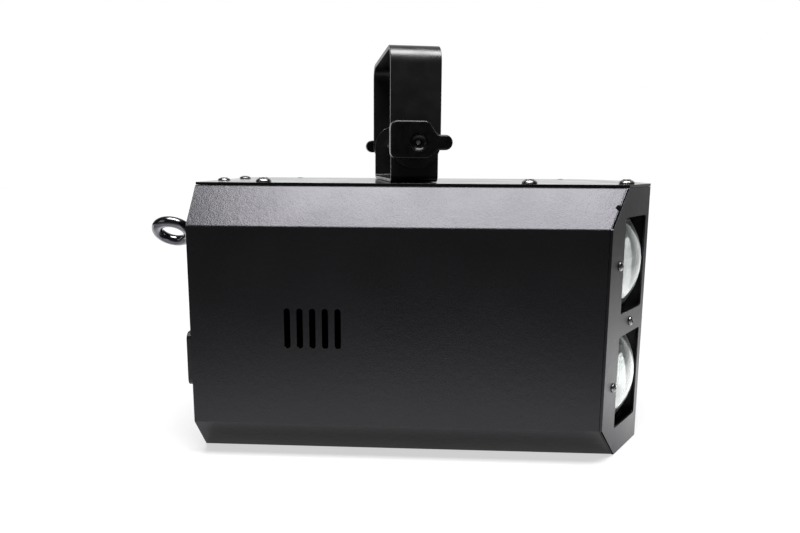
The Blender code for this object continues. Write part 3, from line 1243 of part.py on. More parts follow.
def build():
    body_shell()
    lid()
    front_panel()
    rear_panel()
    for face, side in FACES:
        for row, height in ROWS:
            lens(f"lens_{face}_{row}", face_frame(side, height))
        lens_frame(face, side)

    drum_hinge = pivot("drum_axis", upright(DRUM_X, 0, DRUM_TOP))
    beam_drum(drum_hinge)
    drum_hub(drum_hinge)
    motor_shaft(drum_hinge)
    drum_motor()
    motor_bridge()
    light_column()
    for face, side in FACES:
        led_board(face, side)

    turned_place = upright(BRACKET_X, 0, CASE_HEIGHT, BRACKET_TURN)
    pivot_place = upright(BRACKET_X, 0, PIVOT_Z, BRACKET_TURN)
    swivel = pivot("bracket_swivel_axis", turned_place)
    tilt = pivot("yoke_tilt_axis", pivot_place)
    tilt.parent = swivel
    tilt.matrix_parent_inverse = swivel.matrix_basis.inverted()
    base_bracket(swivel, turned_place, pivot_place)
    yoke_bracket(tilt, pivot_place)
    swivel_bolt(turned_place, swivel)
    swivel_nut(turned_place, swivel)
    facing_left = pivot_place @ Matrix.Rotation(math.pi, 4, "Z")
    for side, place in (("right", pivot_place), ("left", facing_left)):
        pivot_washer(side, place, swivel)
        pivot_nut(side, place, swivel)
        hinge = pivot(f"knob_axis_{side}", place)
        hinge.parent = swivel
        hinge.matrix_parent_inverse = swivel.matrix_basis.inverted()
        clamp_knob(side, place, hinge)

    safety_eye()
    safety_eye_nut()
    fan_frame()
    fan_rotor(pivot("fan_axis", rearward(REAR_INNER, FAN_Y, FAN_Z)))
    fan_guard()
    power_inlet()
    fuse_drawer(pivot("drawer_slide", rearward(REAR_OUTER, INLET_Y, INLET_Z - DRAWER_DROP)))
    data_socket("data_input_socket", SOCKET_IN_Y, True)
    data_socket("data_output_socket", SOCKET_OUT_Y, False)
    display_window()
    for i, y in enumerate(buttons_y()):
        menu_button(i + 1, y, pivot(f"button_slide_{i + 1}", button_place(y)))
    control_board()
    microphone()
    supply_board()


build()
for item in PARTS.objects:
    if item.type == "MESH":
        smooth(item.data)
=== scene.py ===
"""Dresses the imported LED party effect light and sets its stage.

It runs as a script in Blender 4.5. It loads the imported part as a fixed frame, adds the finishes and the fine
pieces that ride on it, and sets up the floor, the lamps and the camera. The frame has its origin at the
middle of the underside, +X is the way the light shines, +Z is up, and all sizes are in metres.
"""

import math

import bmesh
import bpy
from bpy.props import FloatProperty, FloatVectorProperty, IntProperty, PointerProperty
from mathutils import Matrix, Vector


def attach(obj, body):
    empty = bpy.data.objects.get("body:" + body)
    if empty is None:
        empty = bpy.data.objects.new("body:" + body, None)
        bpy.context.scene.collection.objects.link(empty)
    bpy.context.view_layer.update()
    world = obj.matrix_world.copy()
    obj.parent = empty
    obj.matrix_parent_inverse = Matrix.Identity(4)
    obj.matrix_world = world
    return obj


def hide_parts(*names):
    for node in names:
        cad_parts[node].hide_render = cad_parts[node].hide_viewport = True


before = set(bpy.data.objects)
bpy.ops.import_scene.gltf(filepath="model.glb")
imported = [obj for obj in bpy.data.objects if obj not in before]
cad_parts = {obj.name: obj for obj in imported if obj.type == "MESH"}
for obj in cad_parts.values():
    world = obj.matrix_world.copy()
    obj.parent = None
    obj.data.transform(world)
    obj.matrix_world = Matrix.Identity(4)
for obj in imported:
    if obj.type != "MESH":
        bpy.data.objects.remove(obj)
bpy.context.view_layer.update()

bl_info = {
    "name": "LED party effect light",
    "version": (1, 0, 0),
    "blender": (4, 5, 0),
    "location": "3D View > Sidebar > Party light",
    "description": "Finishes, screws, lenses and a studio for the packed LED party effect light",
    "category": "Object",
}

# The part's own sizes, which the pieces are placed by
CASE_WIDTH = 0.200
CASE_HEIGHT = 0.2045
SIDE_LENGTH = 0.300
CHAMFER_WIDTH = 0.023
CHAMFER_HEIGHT = 0.028
NOSE_ANGLE = math.radians(35)
CENTRE_FACE_WIDTH = 0.076
SHEET = 0.0015
SEAT_GAP = 0.0003
LID_SHEET = 0.002
WINDOW_WIDTH = 0.044
WINDOW_FROM_RIDGE = 0.0068
WINDOW_PITCH = 0.0885
WINDOW_MIDDLE = 0.10125
LENS_WIDTH = 0.047
LENS_HEIGHT = 0.080
LENS_SPHERE = 0.0559
LENS_BULGE = 0.0025
LENS_BACK = 0.012
LENS_FLANGE = 0.002
SIDE_POST = 0.0288
CENTRE_POST = 0.0285
POST_RISE = 0.0455
BOARD_SHIFT = 0.012
CUP_MOUTH = 0.0129
BRACKET_FROM_REAR = 0.1505
BRACKET_TURN = math.radians(10.85)
BRACKET_TOP = 0.3055
PIVOT_Z = 0.234
STUD_RADIUS = 0.004
BORE_PLAY = 0.0004
NUT_ACROSS = 0.013
NUT_HEIGHT = 0.006
NUT_PLAY = 0.0003
EYE_PLACE = (-0.070, 0.167)
FAN_PLACE = (0.052, 0.138)
FAN_HOLE_REACH = 0.025
INLET_PLACE = (-0.078, 0.073)
SOCKET_YS = (0.020, 0.056)
SOCKET_Z = 0.060
DISPLAY_PLACE = (-0.016, 0.150)
BUTTON_Z = 0.126
BUTTON_PITCH = 0.013
BUTTON_PROUD = 0.0016
MICROPHONE_PLACE = (-0.016, 0.107)
SUPPLY_FROM_REAR = 0.095
SUPPLY_Y = 0.030
SUPPLY_STAND = 0.006
SUPPLY_SHEET = 0.0016

# Places that follow from them
NOSE_DEPTH = (CASE_WIDTH - CENTRE_FACE_WIDTH) / 2 * math.tan(NOSE_ANGLE)
REAR_X = -(SIDE_LENGTH + NOSE_DEPTH) / 2
TIP_X = REAR_X + SIDE_LENGTH + NOSE_DEPTH
DRUM_X = TIP_X - CENTRE_FACE_WIDTH / 2 / math.tan(NOSE_ANGLE / 2)
BRACKET_X = REAR_X + BRACKET_FROM_REAR
REAR_OUTER = REAR_X + SHEET
FLAT_HALF_WIDTH = CASE_WIDTH / 2 - CHAMFER_WIDTH
DOME_BASE = LENS_SPHERE - LENS_BULGE - LENS_BACK
DOME_RIM = math.sqrt(LENS_SPHERE**2 - DOME_BASE**2)
FACES = (("right", -1), ("centre", 0), ("left", 1))
ROWS = (("upper", WINDOW_PITCH / 2), ("lower", -WINDOW_PITCH / 2))
SIDES = ("right", "left")

# Fine sizes that only the scene has
PROUD = 0.0001
LID_SCREWS = ((-0.1222, -0.0705), (0.0741, -0.0705), (0.1466, -0.0610))
SUNK_SCREWS = ((-0.1222, 0.0655), (0.0, 0.0655), (0.1222, 0.0655))
SUNK_SCREW_HEIGHT = 0.0009
SUNK_DEPTH = 0.0005
LOW_SCREWS = ((REAR_X + 0.0068, -0.030), (REAR_X + 0.0068, 0.030))
LOW_SCREW_RADIUS = 0.005
LOW_SCREW_HEIGHT = 0.0022
REAR_SCREWS = (
    (-0.0915, 0.036),
    (-0.0915, 0.125),
    (0.0915, 0.036),
    (0.0915, 0.125),
    (-0.050, 0.0095),
    (0.050, 0.0095),
    (-0.046, 0.1935),
    (0.046, 0.1935),
)
HEAD_TURN = 1.7
SHADE_STRIP_THICKNESS = 0.0005
BAFFLE_DEPTH = 0.020
BAFFLE_SHEET = 0.0008
BAFFLE_FROM_RIDGE = 0.003
BAFFLE_FROM_FLOOR = 0.006
CUP_RADIUS = 0.0090
THREAD_PITCH = 0.00125
THREAD_DEPTH = 0.0006
KNOB_THICKNESS = 0.009
KNOB_EDGE = 0.0016
KNOB_COLLAR = 0.005
KNOB_DIMPLE_RADIUS = 0.0068
KNOB_DIMPLE_DEPTH = 0.0036
EYE_ROLL = math.radians(47)
EYE_CENTRE = 0.0222
EYE_RING = 0.0118
EYE_WIRE = 0.0041
SMOOTH_ANGLE = 38


# Settings

PAINT = {"subtype": "COLOR", "min": 0.0, "max": 1.0}


class PartyLightSizes(bpy.types.PropertyGroup):
    """The fine sizes that the part's solids leave to the scene."""

    coat_grain: FloatProperty(
        name="Coat grain",
        description="Size of the bumps in the powder coat",
        default=0.0011,
        min=0.0002,
        unit="LENGTH",
    )
    coat_relief: FloatProperty(
        name="Coat relief",
        description="Height of the bumps in the powder coat",
        default=0.00011,
        min=0.0,
        unit="LENGTH",
    )
    edge_radius: FloatProperty(
        name="Edge radius",
        description="Radius on the cut edges of sheet metal",
        default=0.0004,
        min=0.0001,
        unit="LENGTH",
    )
    lid_screw_radius: FloatProperty(
        name="Lid screw radius",
        description="Radius of the domed screw heads on the lid",
        default=0.0058,
        min=0.002,
        unit="LENGTH",
    )
    lid_screw_height: FloatProperty(
        name="Lid screw height",
        description="Height of the domed screw heads on the lid",
        default=0.0036,
        min=0.001,
        unit="LENGTH",
    )
    face_screw_radius: FloatProperty(
        name="Face screw radius",
        description="Radius of the pan head screws on the front and the rear",
        default=0.0035,
        min=0.001,
        unit="LENGTH",
    )
    face_screw_height: FloatProperty(
        name="Face screw height",
        description="Height of the pan head screws on the front and the rear",
        default=0.0020,
        min=0.0005,
        unit="LENGTH",
    )
    lens_segments: IntProperty(
        name="Lens segments",
        description="Steps round each lens",
        default=120,
        min=24,
    )


class PartyLightColours(bpy.types.PropertyGroup):
    """The colours of the main finishes."""

    coat: FloatVectorProperty(
        name="Powder coat",
        description="Colour of the case's powder coat",
        default=(0.0042, 0.0042, 0.0045),
        **PAINT,
    )
    bracket: FloatVectorProperty(
        name="Bracket paint",
        description="Colour of the hanging bracket's satin paint",
        default=(0.0045, 0.0045, 0.005),
        **PAINT,
    )
    plastic: FloatVectorProperty(
        name="Plastic",
        description="Colour of the knobs, the fan and the sockets",
        default=(0.009, 0.009, 0.010),
        **PAINT,
    )
    lens: FloatVectorProperty(
        name="Lens",
        description="Tint of the clear lenses",
        default=(0.92, 0.985, 0.955),
        **PAINT,
    )
    digits: FloatVectorProperty(
        name="Digits",
        description="Colour of the display's lit segments",
        default=(1.0, 0.04, 0.02),
        **PAINT,
    )
    floor: FloatVectorProperty(
        name="Floor",
        description="Colour of the studio floor",
        default=(0.38, 0.38, 0.39),
        **PAINT,
    )


def sizes():
    return bpy.context.scene.party_light_sizes


def colours():
    return bpy.context.scene.party_light_colours


# Finishes


class Nodes:
    """The node tree of a material or a world, with one call that adds a node and fills its inputs."""

    def __init__(self, owner):
        owner.use_nodes = True
        self.tree = owner.node_tree

    def fill(self, node, inputs):
        """Joins each named input to a socket, or sets it to a value."""
        for name, value in inputs.items():
            if isinstance(value, bpy.types.NodeSocket):
                self.tree.links.new(value, node.inputs[name])
            else:
                node.inputs[name].default_value = value

    def add(self, kind, outlet, inputs, **settings):
        """Adds a node and gives back one of its outputs."""
        node = self.tree.nodes.new(f"ShaderNode{kind}")
        for name, value in settings.items():
            setattr(node, name, value)
        self.fill(node, inputs)
        return node.outputs[outlet]

    def texture(self, kind, size, amount=0.0, squeeze=1.0):
        """Noise with this much detail, waves with this much distortion, or cells, in the object's space."""
        place = self.add("TexCoord", "Object", {})
        if squeeze != 1:
            place = self.add("Mapping", "Vector", {"Vector": place, "Scale": (1, 1, squeeze)})
        inputs = {"Vector": place, "Scale": 1 / size}
        if kind == "noise":
            return self.add("TexNoise", "Fac", {**inputs, "Detail": amount})
        if kind == "waves":
            return self.add("TexWave", "Fac", {**inputs, "Distortion": amount}, bands_direction="Z")
        return self.add("TexVoronoi", "Distance", inputs, feature=kind)

    def ramp(self, texture, low, high, start=0.3, stop=0.7):
        """A colour that runs from low to high as the texture does."""
        colour = self.add("ValToRGB", "Color", {"Fac": self.texture(*texture)})
        elements = colour.node.color_ramp.elements
        for element, position, shade_there in zip(elements, (start, stop), (low, high)):
            element.position = position
            element.color = (*shade_there, 1)
        return colour

    def span(self, driver, start, stop):
        """A value that runs between two (driver, result) points."""
        ends = {"From Min": start[0], "To Min": start[1], "From Max": stop[0], "To Max": stop[1]}
        return self.add("MapRange", "Result", {"Value": driver, **ends})

    def join(self, operation, first, second):
        return self.add("Math", "Value", {0: first, 1: second}, operation=operation)


def shade(colour, factor):
    return tuple(min(1.0, channel * factor) for channel in colour)


def looks():
    """Every finish: its colour and roughness, each plain or run over a texture, its bumps, its other sockets
    and the material slot that it belongs to."""
    coat, bracket, plastic, lens, digits = (getattr(colours(), name)[:] for name in COLOUR_NAMES)
    knob = shade(plastic, 0.25)
    grain, relief = sizes().coat_grain, sizes().coat_relief
    clear = {"IOR": 1.49}
    return {
        # Powder coat with a peel of small bumps, its colour darker in the bumps' hollows and lighter on their
        # tops, and faint rubbed patches
        "powder_coat": {
            "colour": (("noise", grain, 3), shade(coat, 0.7), shade(coat, 1.7)),
            "roughness": (("noise", 0.045, 4), 0.30, 0.36),
            "bumps": ((("noise", grain, 3), relief), (("noise", grain * 4, 1), relief * 0.8)),
            "sockets": {"Specular IOR Level": 0.5, "Specular Tint": (0.94, 0.93, 1.0, 1)},
        },
        # The coat on the flat lid, which flowed out smooth and mirrors at a low angle
        "lid_paint": {
            "colour": (("noise", 0.02, 4), shade(coat, 0.8), shade(coat, 1.4)),
            "roughness": (("noise", 0.035, 4), 0.12, 0.20),
            "slot": "black_powder_coat",
        },
        # Satin paint with a slight peel
        "satin_paint": {
            "colour": (("noise", 0.03, 5), shade(bracket, 0.8), shade(bracket, 1.5)),
            "roughness": (("noise", 0.012, 4), 0.28, 0.38),
            "bumps": ((("noise", 0.0012, 2), 0.00003),),
            "sockets": {"Specular IOR Level": 0.6},
            "slot": "black_satin_paint",
        },
        # Matt plastic with a fine spark-eroded grain
        "moulded_plastic": {
            "colour": (("noise", 0.015, 3), shade(plastic, 0.8), shade(plastic, 1.4)),
            "roughness": (("noise", 0.006, 3), 0.34, 0.48),
            "bumps": ((("F1", 0.0006), 0.00003),),
            "slot": "black_plastic",
        },
        # Darker and smoother plastic, polished by hands on its high places
        "knob_plastic": {
            "colour": (("noise", 0.010, 3), shade(knob, 0.7), shade(knob, 1.5)),
            "roughness": (("noise", 0.005, 4), 0.22, 0.34),
            "bumps": ((("noise", 0.0010, 2), 0.00002),),
            "sockets": {"Specular IOR Level": 0.3},
            "slot": "black_plastic",
        },
        "drum_plastic": {
            "colour": (("noise", 0.02, 3), (0.008, 0.008, 0.009), (0.018, 0.018, 0.019)),
            "roughness": (("noise", 0.008, 3), 0.44, 0.6),
            "bumps": ((("waves", 0.0015, 0.4), 0.00001),),
            "slot": "black_plastic",
        },
        "gasket_rubber": {
            "colour": (("noise", 0.002, 4), (0.004, 0.004, 0.004), (0.010, 0.010, 0.010)),
            "roughness": 0.75,
            "bumps": ((("noise", 0.0006, 3), 0.00004),),
            "slot": "black_plastic",
        },
        # Painted shade: a flat black that gives back almost no light, standing in for the dark inside a narrow
        # seam
        "open_gap": {
            "colour": (("noise", 0.002, 3), (0.002, 0.002, 0.002), (0.006, 0.006, 0.006)),
            "roughness": 1.0,
            "bumps": ((("noise", 0.0006, 2), 0.00003),),
            "sockets": {"Specular IOR Level": 0.0},
            "slot": "black_plastic",
        },
        # Acrylic with a pale haze, clear from the front, light at a low angle and wavy from its mould
        "lens_acrylic": {
            "colour": (("noise", 0.02, 1), shade(lens, 0.85), lens),
            "roughness": (("noise", 0.004, 3), 0.01, 0.05),
            "bumps": ((("noise", 0.012, 1), 0.00005),),
            "sockets": {
                **clear,
                "Transmission Weight": 0.84,
                "Coat Weight": 1.0,
                "Coat IOR": 2.0,
                "Coat Roughness": 0.03,
                "Sheen Weight": 0.8,
                "Sheen Roughness": 0.35,
                "Sheen Tint": (*lens, 1),
            },
            "slot": "clear_acrylic",
        },
        "cup_acrylic": {
            "colour": (0.95, 0.97, 1.0),
            "roughness": 0.03,
            "bumps": ((("waves", 0.002), 0.00002),),
            "sockets": {**clear, "Transmission Weight": 1.0},
            "slot": "clear_acrylic",
        },
        # Deep red tinted window with a polished face
        "window_red": {
            "colour": (0.22, 0.006, 0.006),
            "roughness": (("noise", 0.005, 3), 0.04, 0.12),
            "bumps": ((("noise", 0.006, 1), 0.00002),),
            "sockets": {**clear, "Transmission Weight": 0.9},
            "slot": "dark_red_window",
        },
        "display_back": {
            "colour": (("noise", 0.002, 3), (0.008, 0.007, 0.007), (0.018, 0.014, 0.014)),
            "roughness": 0.6,
            "slot": "black_plastic",
        },
        "dark_segment": {
            "colour": (("noise", 0.001, 2), (0.04, 0.010, 0.010), (0.06, 0.015, 0.015)),
            "roughness": 0.5,
            "slot": "dark_red_window",
        },
        "lit_segment": {
            "colour": (("noise", 0.001, 2), shade(digits, 0.9), digits),
            "roughness": 0.4,
            "sockets": {"Emission Color": (*digits, 1), "Emission Strength": 3.0},
            "slot": "dark_red_window",
        },
        # Zinc plating with its mottled passivation and fine rolling marks
        "zinc_steel": {
            "colour": (("noise", 0.006, 4), (0.44, 0.44, 0.46), (0.64, 0.64, 0.63)),
            "roughness": (("noise", 0.002, 4), 0.24, 0.42),
            "bumps": ((("noise", 0.0008, 2, 0.1), 0.00001),),
            "metal": 1.0,
            "slot": "bare_steel",
        },
        # Black passivated screws, their colour mottled from dark to bright by a noise
        "dark_screw": {
            "colour": (("noise", 0.0022, 3), (0.10, 0.10, 0.105), (0.50, 0.48, 0.47), 0.35),
            "roughness": (("noise", 0.001, 3), 0.18, 0.38),
            "bumps": ((("noise", 0.0005, 2), 0.00001),),
            "metal": 1.0,
            "slot": "black_nickel_steel",
        },
        "black_nickel": {
            "colour": (("noise", 0.008, 3), (0.12, 0.12, 0.135), (0.20, 0.20, 0.215)),
            "roughness": (("noise", 0.003, 4), 0.10, 0.22),
            "bumps": ((("noise", 0.0016, 2), 0.00001),),
            "metal": 1.0,
            "slot": "black_nickel_steel",
        },
        # Anodised aluminium with the die's lines along its length
        "extruded_aluminium": {
            "colour": (("noise", 0.0008, 2, 0.02), (0.60, 0.61, 0.63), (0.76, 0.77, 0.79)),
            "roughness": (("noise", 0.004, 3), 0.28, 0.44),
            "bumps": ((("noise", 0.0008, 2, 0.02), 0.00002),),
            "metal": 1.0,
            "slot": "aluminium",
        },
        "turned_brass": {
            "colour": (("noise", 0.003, 3), (0.70, 0.52, 0.22), (0.84, 0.66, 0.34)),
            "roughness": 0.26,
            "bumps": ((("waves", 0.0004), 0.000004),),
            "metal": 1.0,
            "slot": "brass",
        },
        # The motor's laminated middle and painted caps
        "motor_metal": {
            "colour": (("waves", 0.0006), (0.03, 0.03, 0.034), (0.10, 0.10, 0.11)),
            "roughness": (("noise", 0.003, 3), 0.3, 0.45),
            "bumps": ((("waves", 0.0006), 0.00001),),
            "metal": 0.6,
        },
        # Solder mask over copper tracks, which show as slightly lighter bands
        "green_board": {
            "colour": (("DISTANCE_TO_EDGE", 0.006), (0.03, 0.22, 0.08), (0.008, 0.10, 0.035), 0.06, 0.09),
            "roughness": 0.3,
            "bumps": ((("DISTANCE_TO_EDGE", 0.006), 0.00004, 0.4),),
            "sockets": {"Coat Weight": 0.3},
            "slot": "green_circuit_board",
        },
        "white_board": {
            "colour": (("noise", 0.004, 3), (0.74, 0.74, 0.72), (0.84, 0.84, 0.82)),
            "roughness": 0.42,
            "bumps": ((("DISTANCE_TO_EDGE", 0.003), 0.00003, 0.4),),
        },
        "phosphor": {
            "colour": (("F1", 0.0008), (0.78, 0.55, 0.03), (0.92, 0.74, 0.12), 0.0, 0.6),
            "roughness": 0.5,
            "bumps": ((("noise", 0.0004, 2), 0.00003),),
            "slot": "brass",
        },
        "capacitor_sleeve": {
            "colour": (("noise", 0.003, 2), (0.010, 0.011, 0.024), (0.020, 0.022, 0.044)),
            "roughness": 0.3,
            "bumps": ((("noise", 0.0015, 1), 0.00002),),
            "slot": "black_plastic",
        },
        "winding_copper": {
            "colour": (("waves", 0.0008, 0.2), (0.40, 0.13, 0.05), (0.74, 0.32, 0.14)),
            "roughness": 0.3,
            "bumps": ((("waves", 0.0008, 0.2), 0.0002),),
            "metal": 1.0,
            "slot": "brass",
        },
        "transformer_tape": {
            "colour": (("waves", 0.004, 0.3), (0.62, 0.42, 0.05), (0.80, 0.58, 0.09)),
            "roughness": 0.35,
            "bumps": ((("noise", 0.002, 2), 0.00004),),
            "slot": "brass",
        },
        "ferrite": {
            "colour": (("noise", 0.0015, 4), (0.025, 0.023, 0.022), (0.055, 0.052, 0.050)),
            "roughness": 0.55,
            "bumps": ((("noise", 0.0006, 3), 0.00004),),
            "slot": "black_plastic",
        },
    }


COLOUR_NAMES = ("coat", "bracket", "plastic", "lens", "digits")
FINISHES = {}


def finish(name):
    """The named finish, made on one Principled shader when first asked for, and its material slot."""
    look = looks()[name]
    if name not in FINISHES:
        made = bpy.data.materials.new(name)
        FINISHES[name] = made
        nodes = Nodes(made)
        colour, roughness = look["colour"], look["roughness"]
        if isinstance(roughness, tuple):
            texture, low, high = roughness
            roughness = nodes.span(nodes.texture(*texture), (0.3, low), (0.7, high))
        colour = nodes.ramp(*colour) if isinstance(colour[0], tuple) else (*colour, 1)
        inputs = {"Base Color": colour, "Roughness": roughness, "Metallic": look.get("metal", 0.0)}
        inputs.update(look.get("sockets", {}))
        for texture, height, *strength in look.get("bumps", ()):
            bump = {"Height": nodes.texture(*texture), "Distance": height, "Strength": (strength or [1.0])[0]}
            if "Normal" in inputs:
                bump["Normal"] = inputs["Normal"]
            inputs["Normal"] = nodes.add("Bump", "Normal", bump)
        nodes.fill(nodes.tree.nodes["Principled BSDF"], inputs)
    return FINISHES[name], look.get("slot")


# Placing


def axes(origin, x_axis, z_axis):
    """A matrix whose local X and Z run along these two directions."""
    x_axis, z_axis = Vector(x_axis).normalized(), Vector(z_axis).normalized()
    matrix = Matrix((x_axis, z_axis.cross(x_axis), z_axis)).transposed().to_4x4()
    matrix.translation = Vector(origin)
    return matrix


def upright(x, y, z, turn=0.0):
    return Matrix.Translation((x, y, z)) @ Matrix.Rotation(turn, 4, "Z")


def shifted(place, x=0.0, y=0.0, z=0.0):
    return place @ Matrix.Translation((x, y, z))


def rearward(inwards, y, z):
    """A place this far in from the case's back: local Z points out, local Y up and local X towards -Y."""
    return axes((REAR_OUTER + inwards, y, z), (0, -1, 0), (-1, 0, 0))


def on_lid(spots, sunk=0.0):
    return [upright(x, y, CASE_HEIGHT + PROUD - sunk) for x, y in spots]


def face_axes(side):
    """Sideways and outwards on a face of the front. side is -1, 0 or 1 along Y."""
    turn = side * NOSE_ANGLE
    normal = Vector((math.cos(turn), math.sin(turn), 0))
    return Vector((0, 0, 1)).cross(normal), normal


def face_place(side):
    """The middle of a face's windows on its outer surface: local Z outwards and local Y up."""
    across, normal = face_axes(side)
    centre = Vector((TIP_X, side * CENTRE_FACE_WIDTH / 2, WINDOW_MIDDLE))
    centre += across * side * (WINDOW_FROM_RIDGE + WINDOW_WIDTH / 2)
    return axes(centre, across, normal)


def bracket_side(side, out):
    """Local X forward, local Y up and local Z outwards, on the pivot's axis at one side of the bracket."""
    turn = BRACKET_TURN + (math.pi if side == "left" else 0.0)
    return upright(BRACKET_X, 0, PIVOT_Z, turn) @ axes((0, -out, 0), (1, 0, 0), (0, -1, 0))


# Meshes


def linked(name, data):
    item = bpy.data.objects.new(name, data)
    bpy.context.scene.collection.objects.link(item)
    return item


def smoothed(mesh, angle):
    mesh.shade_smooth()
    mesh.set_sharp_from_angle(angle=math.radians(angle))


def new_mesh(name, made):
    mesh = bpy.data.meshes.new(name)
    made.to_mesh(mesh)
    made.free()
    return mesh


def piece(name, made, material, place=None, hides=None, body="case"):
    """Puts a mesh in the scene as a piece that rides on a body, in place of the CAD node that it hides."""
    mesh = new_mesh(name, made)
    if place is not None:
        mesh.transform(place)
    coat, slot = finish(material)
    mesh.materials.append(coat)
    smoothed(mesh, SMOOTH_ANGLE)
    item = linked(name, mesh)
    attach(item, body)
    if hides:
        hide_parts(hides)
    return item


def paint(material, *nodes):
    """Gives CAD nodes that stay on show their finish."""
    for name in nodes:
        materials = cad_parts[name].data.materials
        materials.clear()
        materials.append(finish(material)[0])


def evened(item):
    item.modifiers.new("even shading", "WEIGHTED_NORMAL").keep_sharp = True


def eased(item, width, angle=35):
    """Rounds a piece's sharp edges."""
    bevel = item.modifiers.new("eased edges", "BEVEL")
    bevel.width = width
    bevel.segments = 2
    bevel.limit_method = "ANGLE"
    bevel.angle_limit = math.radians(angle)
    evened(item)


def baked(item):
    """Turns a piece's modifiers into its mesh."""
    graph = bpy.context.evaluated_depsgraph_get()
    old = item.data
    mesh = bpy.data.meshes.new_from_object(item.evaluated_get(graph))
    item.modifiers.clear()
    item.data = mesh
    bpy.data.meshes.remove(old)


def loft(rings, looped=False):
    """A skin over rings of as many points each, closed at its ends or joined from the last to the first."""
    made = bmesh.new()
    rows = [[made.verts.new(point) for point in ring] for ring in rings]
    for low, high in zip(rows, rows[1:] + rows[:1] if looped else rows[1:]):
        for i in range(len(low)):
            j = (i + 1) % len(low)
            made.faces.new((low[i], low[j], high[j], high[i]))
    if not looped:
        made.faces.new(reversed(rows[0]))
        made.faces.new(rows[-1])
    bmesh.ops.recalc_face_normals(made, faces=made.faces)
    return made


def round_angles(steps):
    return [2 * math.pi * i / steps for i in range(steps)]


def spoke(radius, angle, z=0.0):
    return radius * math.cos(angle), radius * math.sin(angle), z


def circle(radius, z=0.0, steps=32):
    return [spoke(radius, angle, z) for angle in round_angles(steps)]


def turned(profile, steps=48, looped=False):
    """A solid turned about local Z from (radius, height) points."""
    return loft([circle(max(radius, 1e-5), z, steps) for radius, z in profile], looped)


def trimmed_hexagon(across, z, trim, steps=48):
    """A hexagon with its corners cut back by trim, drawn with enough points to join a round ring."""
    furthest = across / math.sqrt(3) - trim
    ring = []
    for angle in round_angles(steps):
        turn = angle % (math.pi / 3) - math.pi / 6
        ring.append(spoke(min(across / 2 / math.cos(turn), furthest), angle, z))
    return ring


def rounded(points, radius, steps=4, closed=True):
    """An outline with each corner replaced by an arc of this radius, or by less where its sides are short."""
    result = []
    count = len(points)
    for i, here in enumerate(points):
        if not closed and i in (0, count - 1):
            result.append(tuple(here))
            continue
        corner = Vector(here)
        before = Vector(points[i - 1]) - corner
        after = Vector(points[(i + 1) % count]) - corner
        half = before.angle(after) / 2
        reach = min(radius / math.tan(half), before.length / 2.01, after.length / 2.01)
        actual = reach * math.tan(half)
        middle = corner + (before.normalized() + after.normalized()).normalized() * (actual / math.sin(half))
        first = corner + before.normalized() * reach - middle
        last = corner + after.normalized() * reach - middle
        sweep = math.atan2(first.cross(last), first.dot(last))
        for step in range(steps + 1):
            arm = first.copy()
            arm.rotate(Matrix.Rotation(sweep * step / steps, 2))
            result.append(tuple(middle + arm))
    return result


def rectangle(width, height):
    w, h = width / 2, height / 2
    return [(-w, -h), (w, -h), (w, h), (-w, h)]


def soft_rectangle(width, height, radius):
    return rounded(rectangle(width, height), radius, 6)


def plate(loops, thickness):
    """A flat plate from z = 0 up, filled between an outer loop and the holes in it."""
    curve = bpy.data.curves.new("outline", "CURVE")
    curve.dimensions = "2D"
    curve.fill_mode = "BOTH"
    curve.extrude = thickness / 2
    for loop in loops:
        spline = curve.splines.new("POLY")
        spline.points.add(len(loop) - 1)
        for point, (x, y) in zip(spline.points, loop):
            point.co = (x, y, 0, 1)
        spline.use_cyclic_u = True
    holder = linked("holder", curve)
    graph = bpy.context.evaluated_depsgraph_get()
    mesh = bpy.data.meshes.new_from_object(holder.evaluated_get(graph))
    bpy.data.objects.remove(holder, do_unlink=True)
    bpy.data.curves.remove(curve)
    made = bmesh.new()
    made.from_mesh(mesh)
    bpy.data.meshes.remove(mesh)
    bmesh.ops.remove_doubles(made, verts=made.verts, dist=1e-6)
    bmesh.ops.translate(made, verts=made.verts, vec=(0, 0, thickness / 2))
    bmesh.ops.dissolve_limit(made, angle_limit=0.01, verts=made.verts, edges=made.edges)
    bmesh.ops.recalc_face_normals(made, faces=made.faces)
    return made


def block(width, depth, height, edge):
    """A box standing on z = 0 with its edges and corners eased."""
    made = bmesh.new()
    shape = Matrix.Translation((0, 0, height / 2)) @ Matrix.Diagonal((width, depth, height, 1))
    bmesh.ops.create_cube(made, size=1, matrix=shape)
    bmesh.ops.bevel(
        made,
        geom=list(made.edges),
        offset=edge,
        segments=2,
        profile=0.5,
        affect="EDGES",
        clamp_overlap=True,
    )
    return made


def joined(*meshes):
    """Several meshes, each with its place, as one mesh."""
    made = bmesh.new()
    for part, place in meshes:
        part.transform(place)
        holder = new_mesh("part", part)
        made.from_mesh(holder)
        bpy.data.meshes.remove(holder)
    return made


def wire(points, radius, closed=False, sides=10):
    """A round wire along a line of points."""
    count = len(points)
    path = [Vector(point) for point in points]
    rings = []
    side = None
    for i, here in enumerate(path):
        before = path[i - 1] if closed or i else here
        after = path[(i + 1) % count] if closed or i < count - 1 else here
        along = (after - before).normalized()
        if side is None:
            side = along.orthogonal().normalized()
        side = (side - along * side.dot(along)).normalized()
        up = along.cross(side)
        rings.append([here + (side * math.cos(a) + up * math.sin(a)) * radius for a in round_angles(sides)])
    return loft(rings, closed)


def cross_recess(reach, half, z):
    """The outline of a cross recess, drawn with as many points as the head's rings."""
    ring = []
    corner = math.atan2(half, reach)
    for i, angle in enumerate(round_angles(32)):
        turn = abs((angle + math.pi / 4) % (math.pi / 2) - math.pi / 4)
        distance = reach / math.cos(turn) if turn <= corner else half / math.sin(turn)
        ring.append(spoke(max(distance, half * math.sqrt(2) * 0.98), angle, z))
    return ring


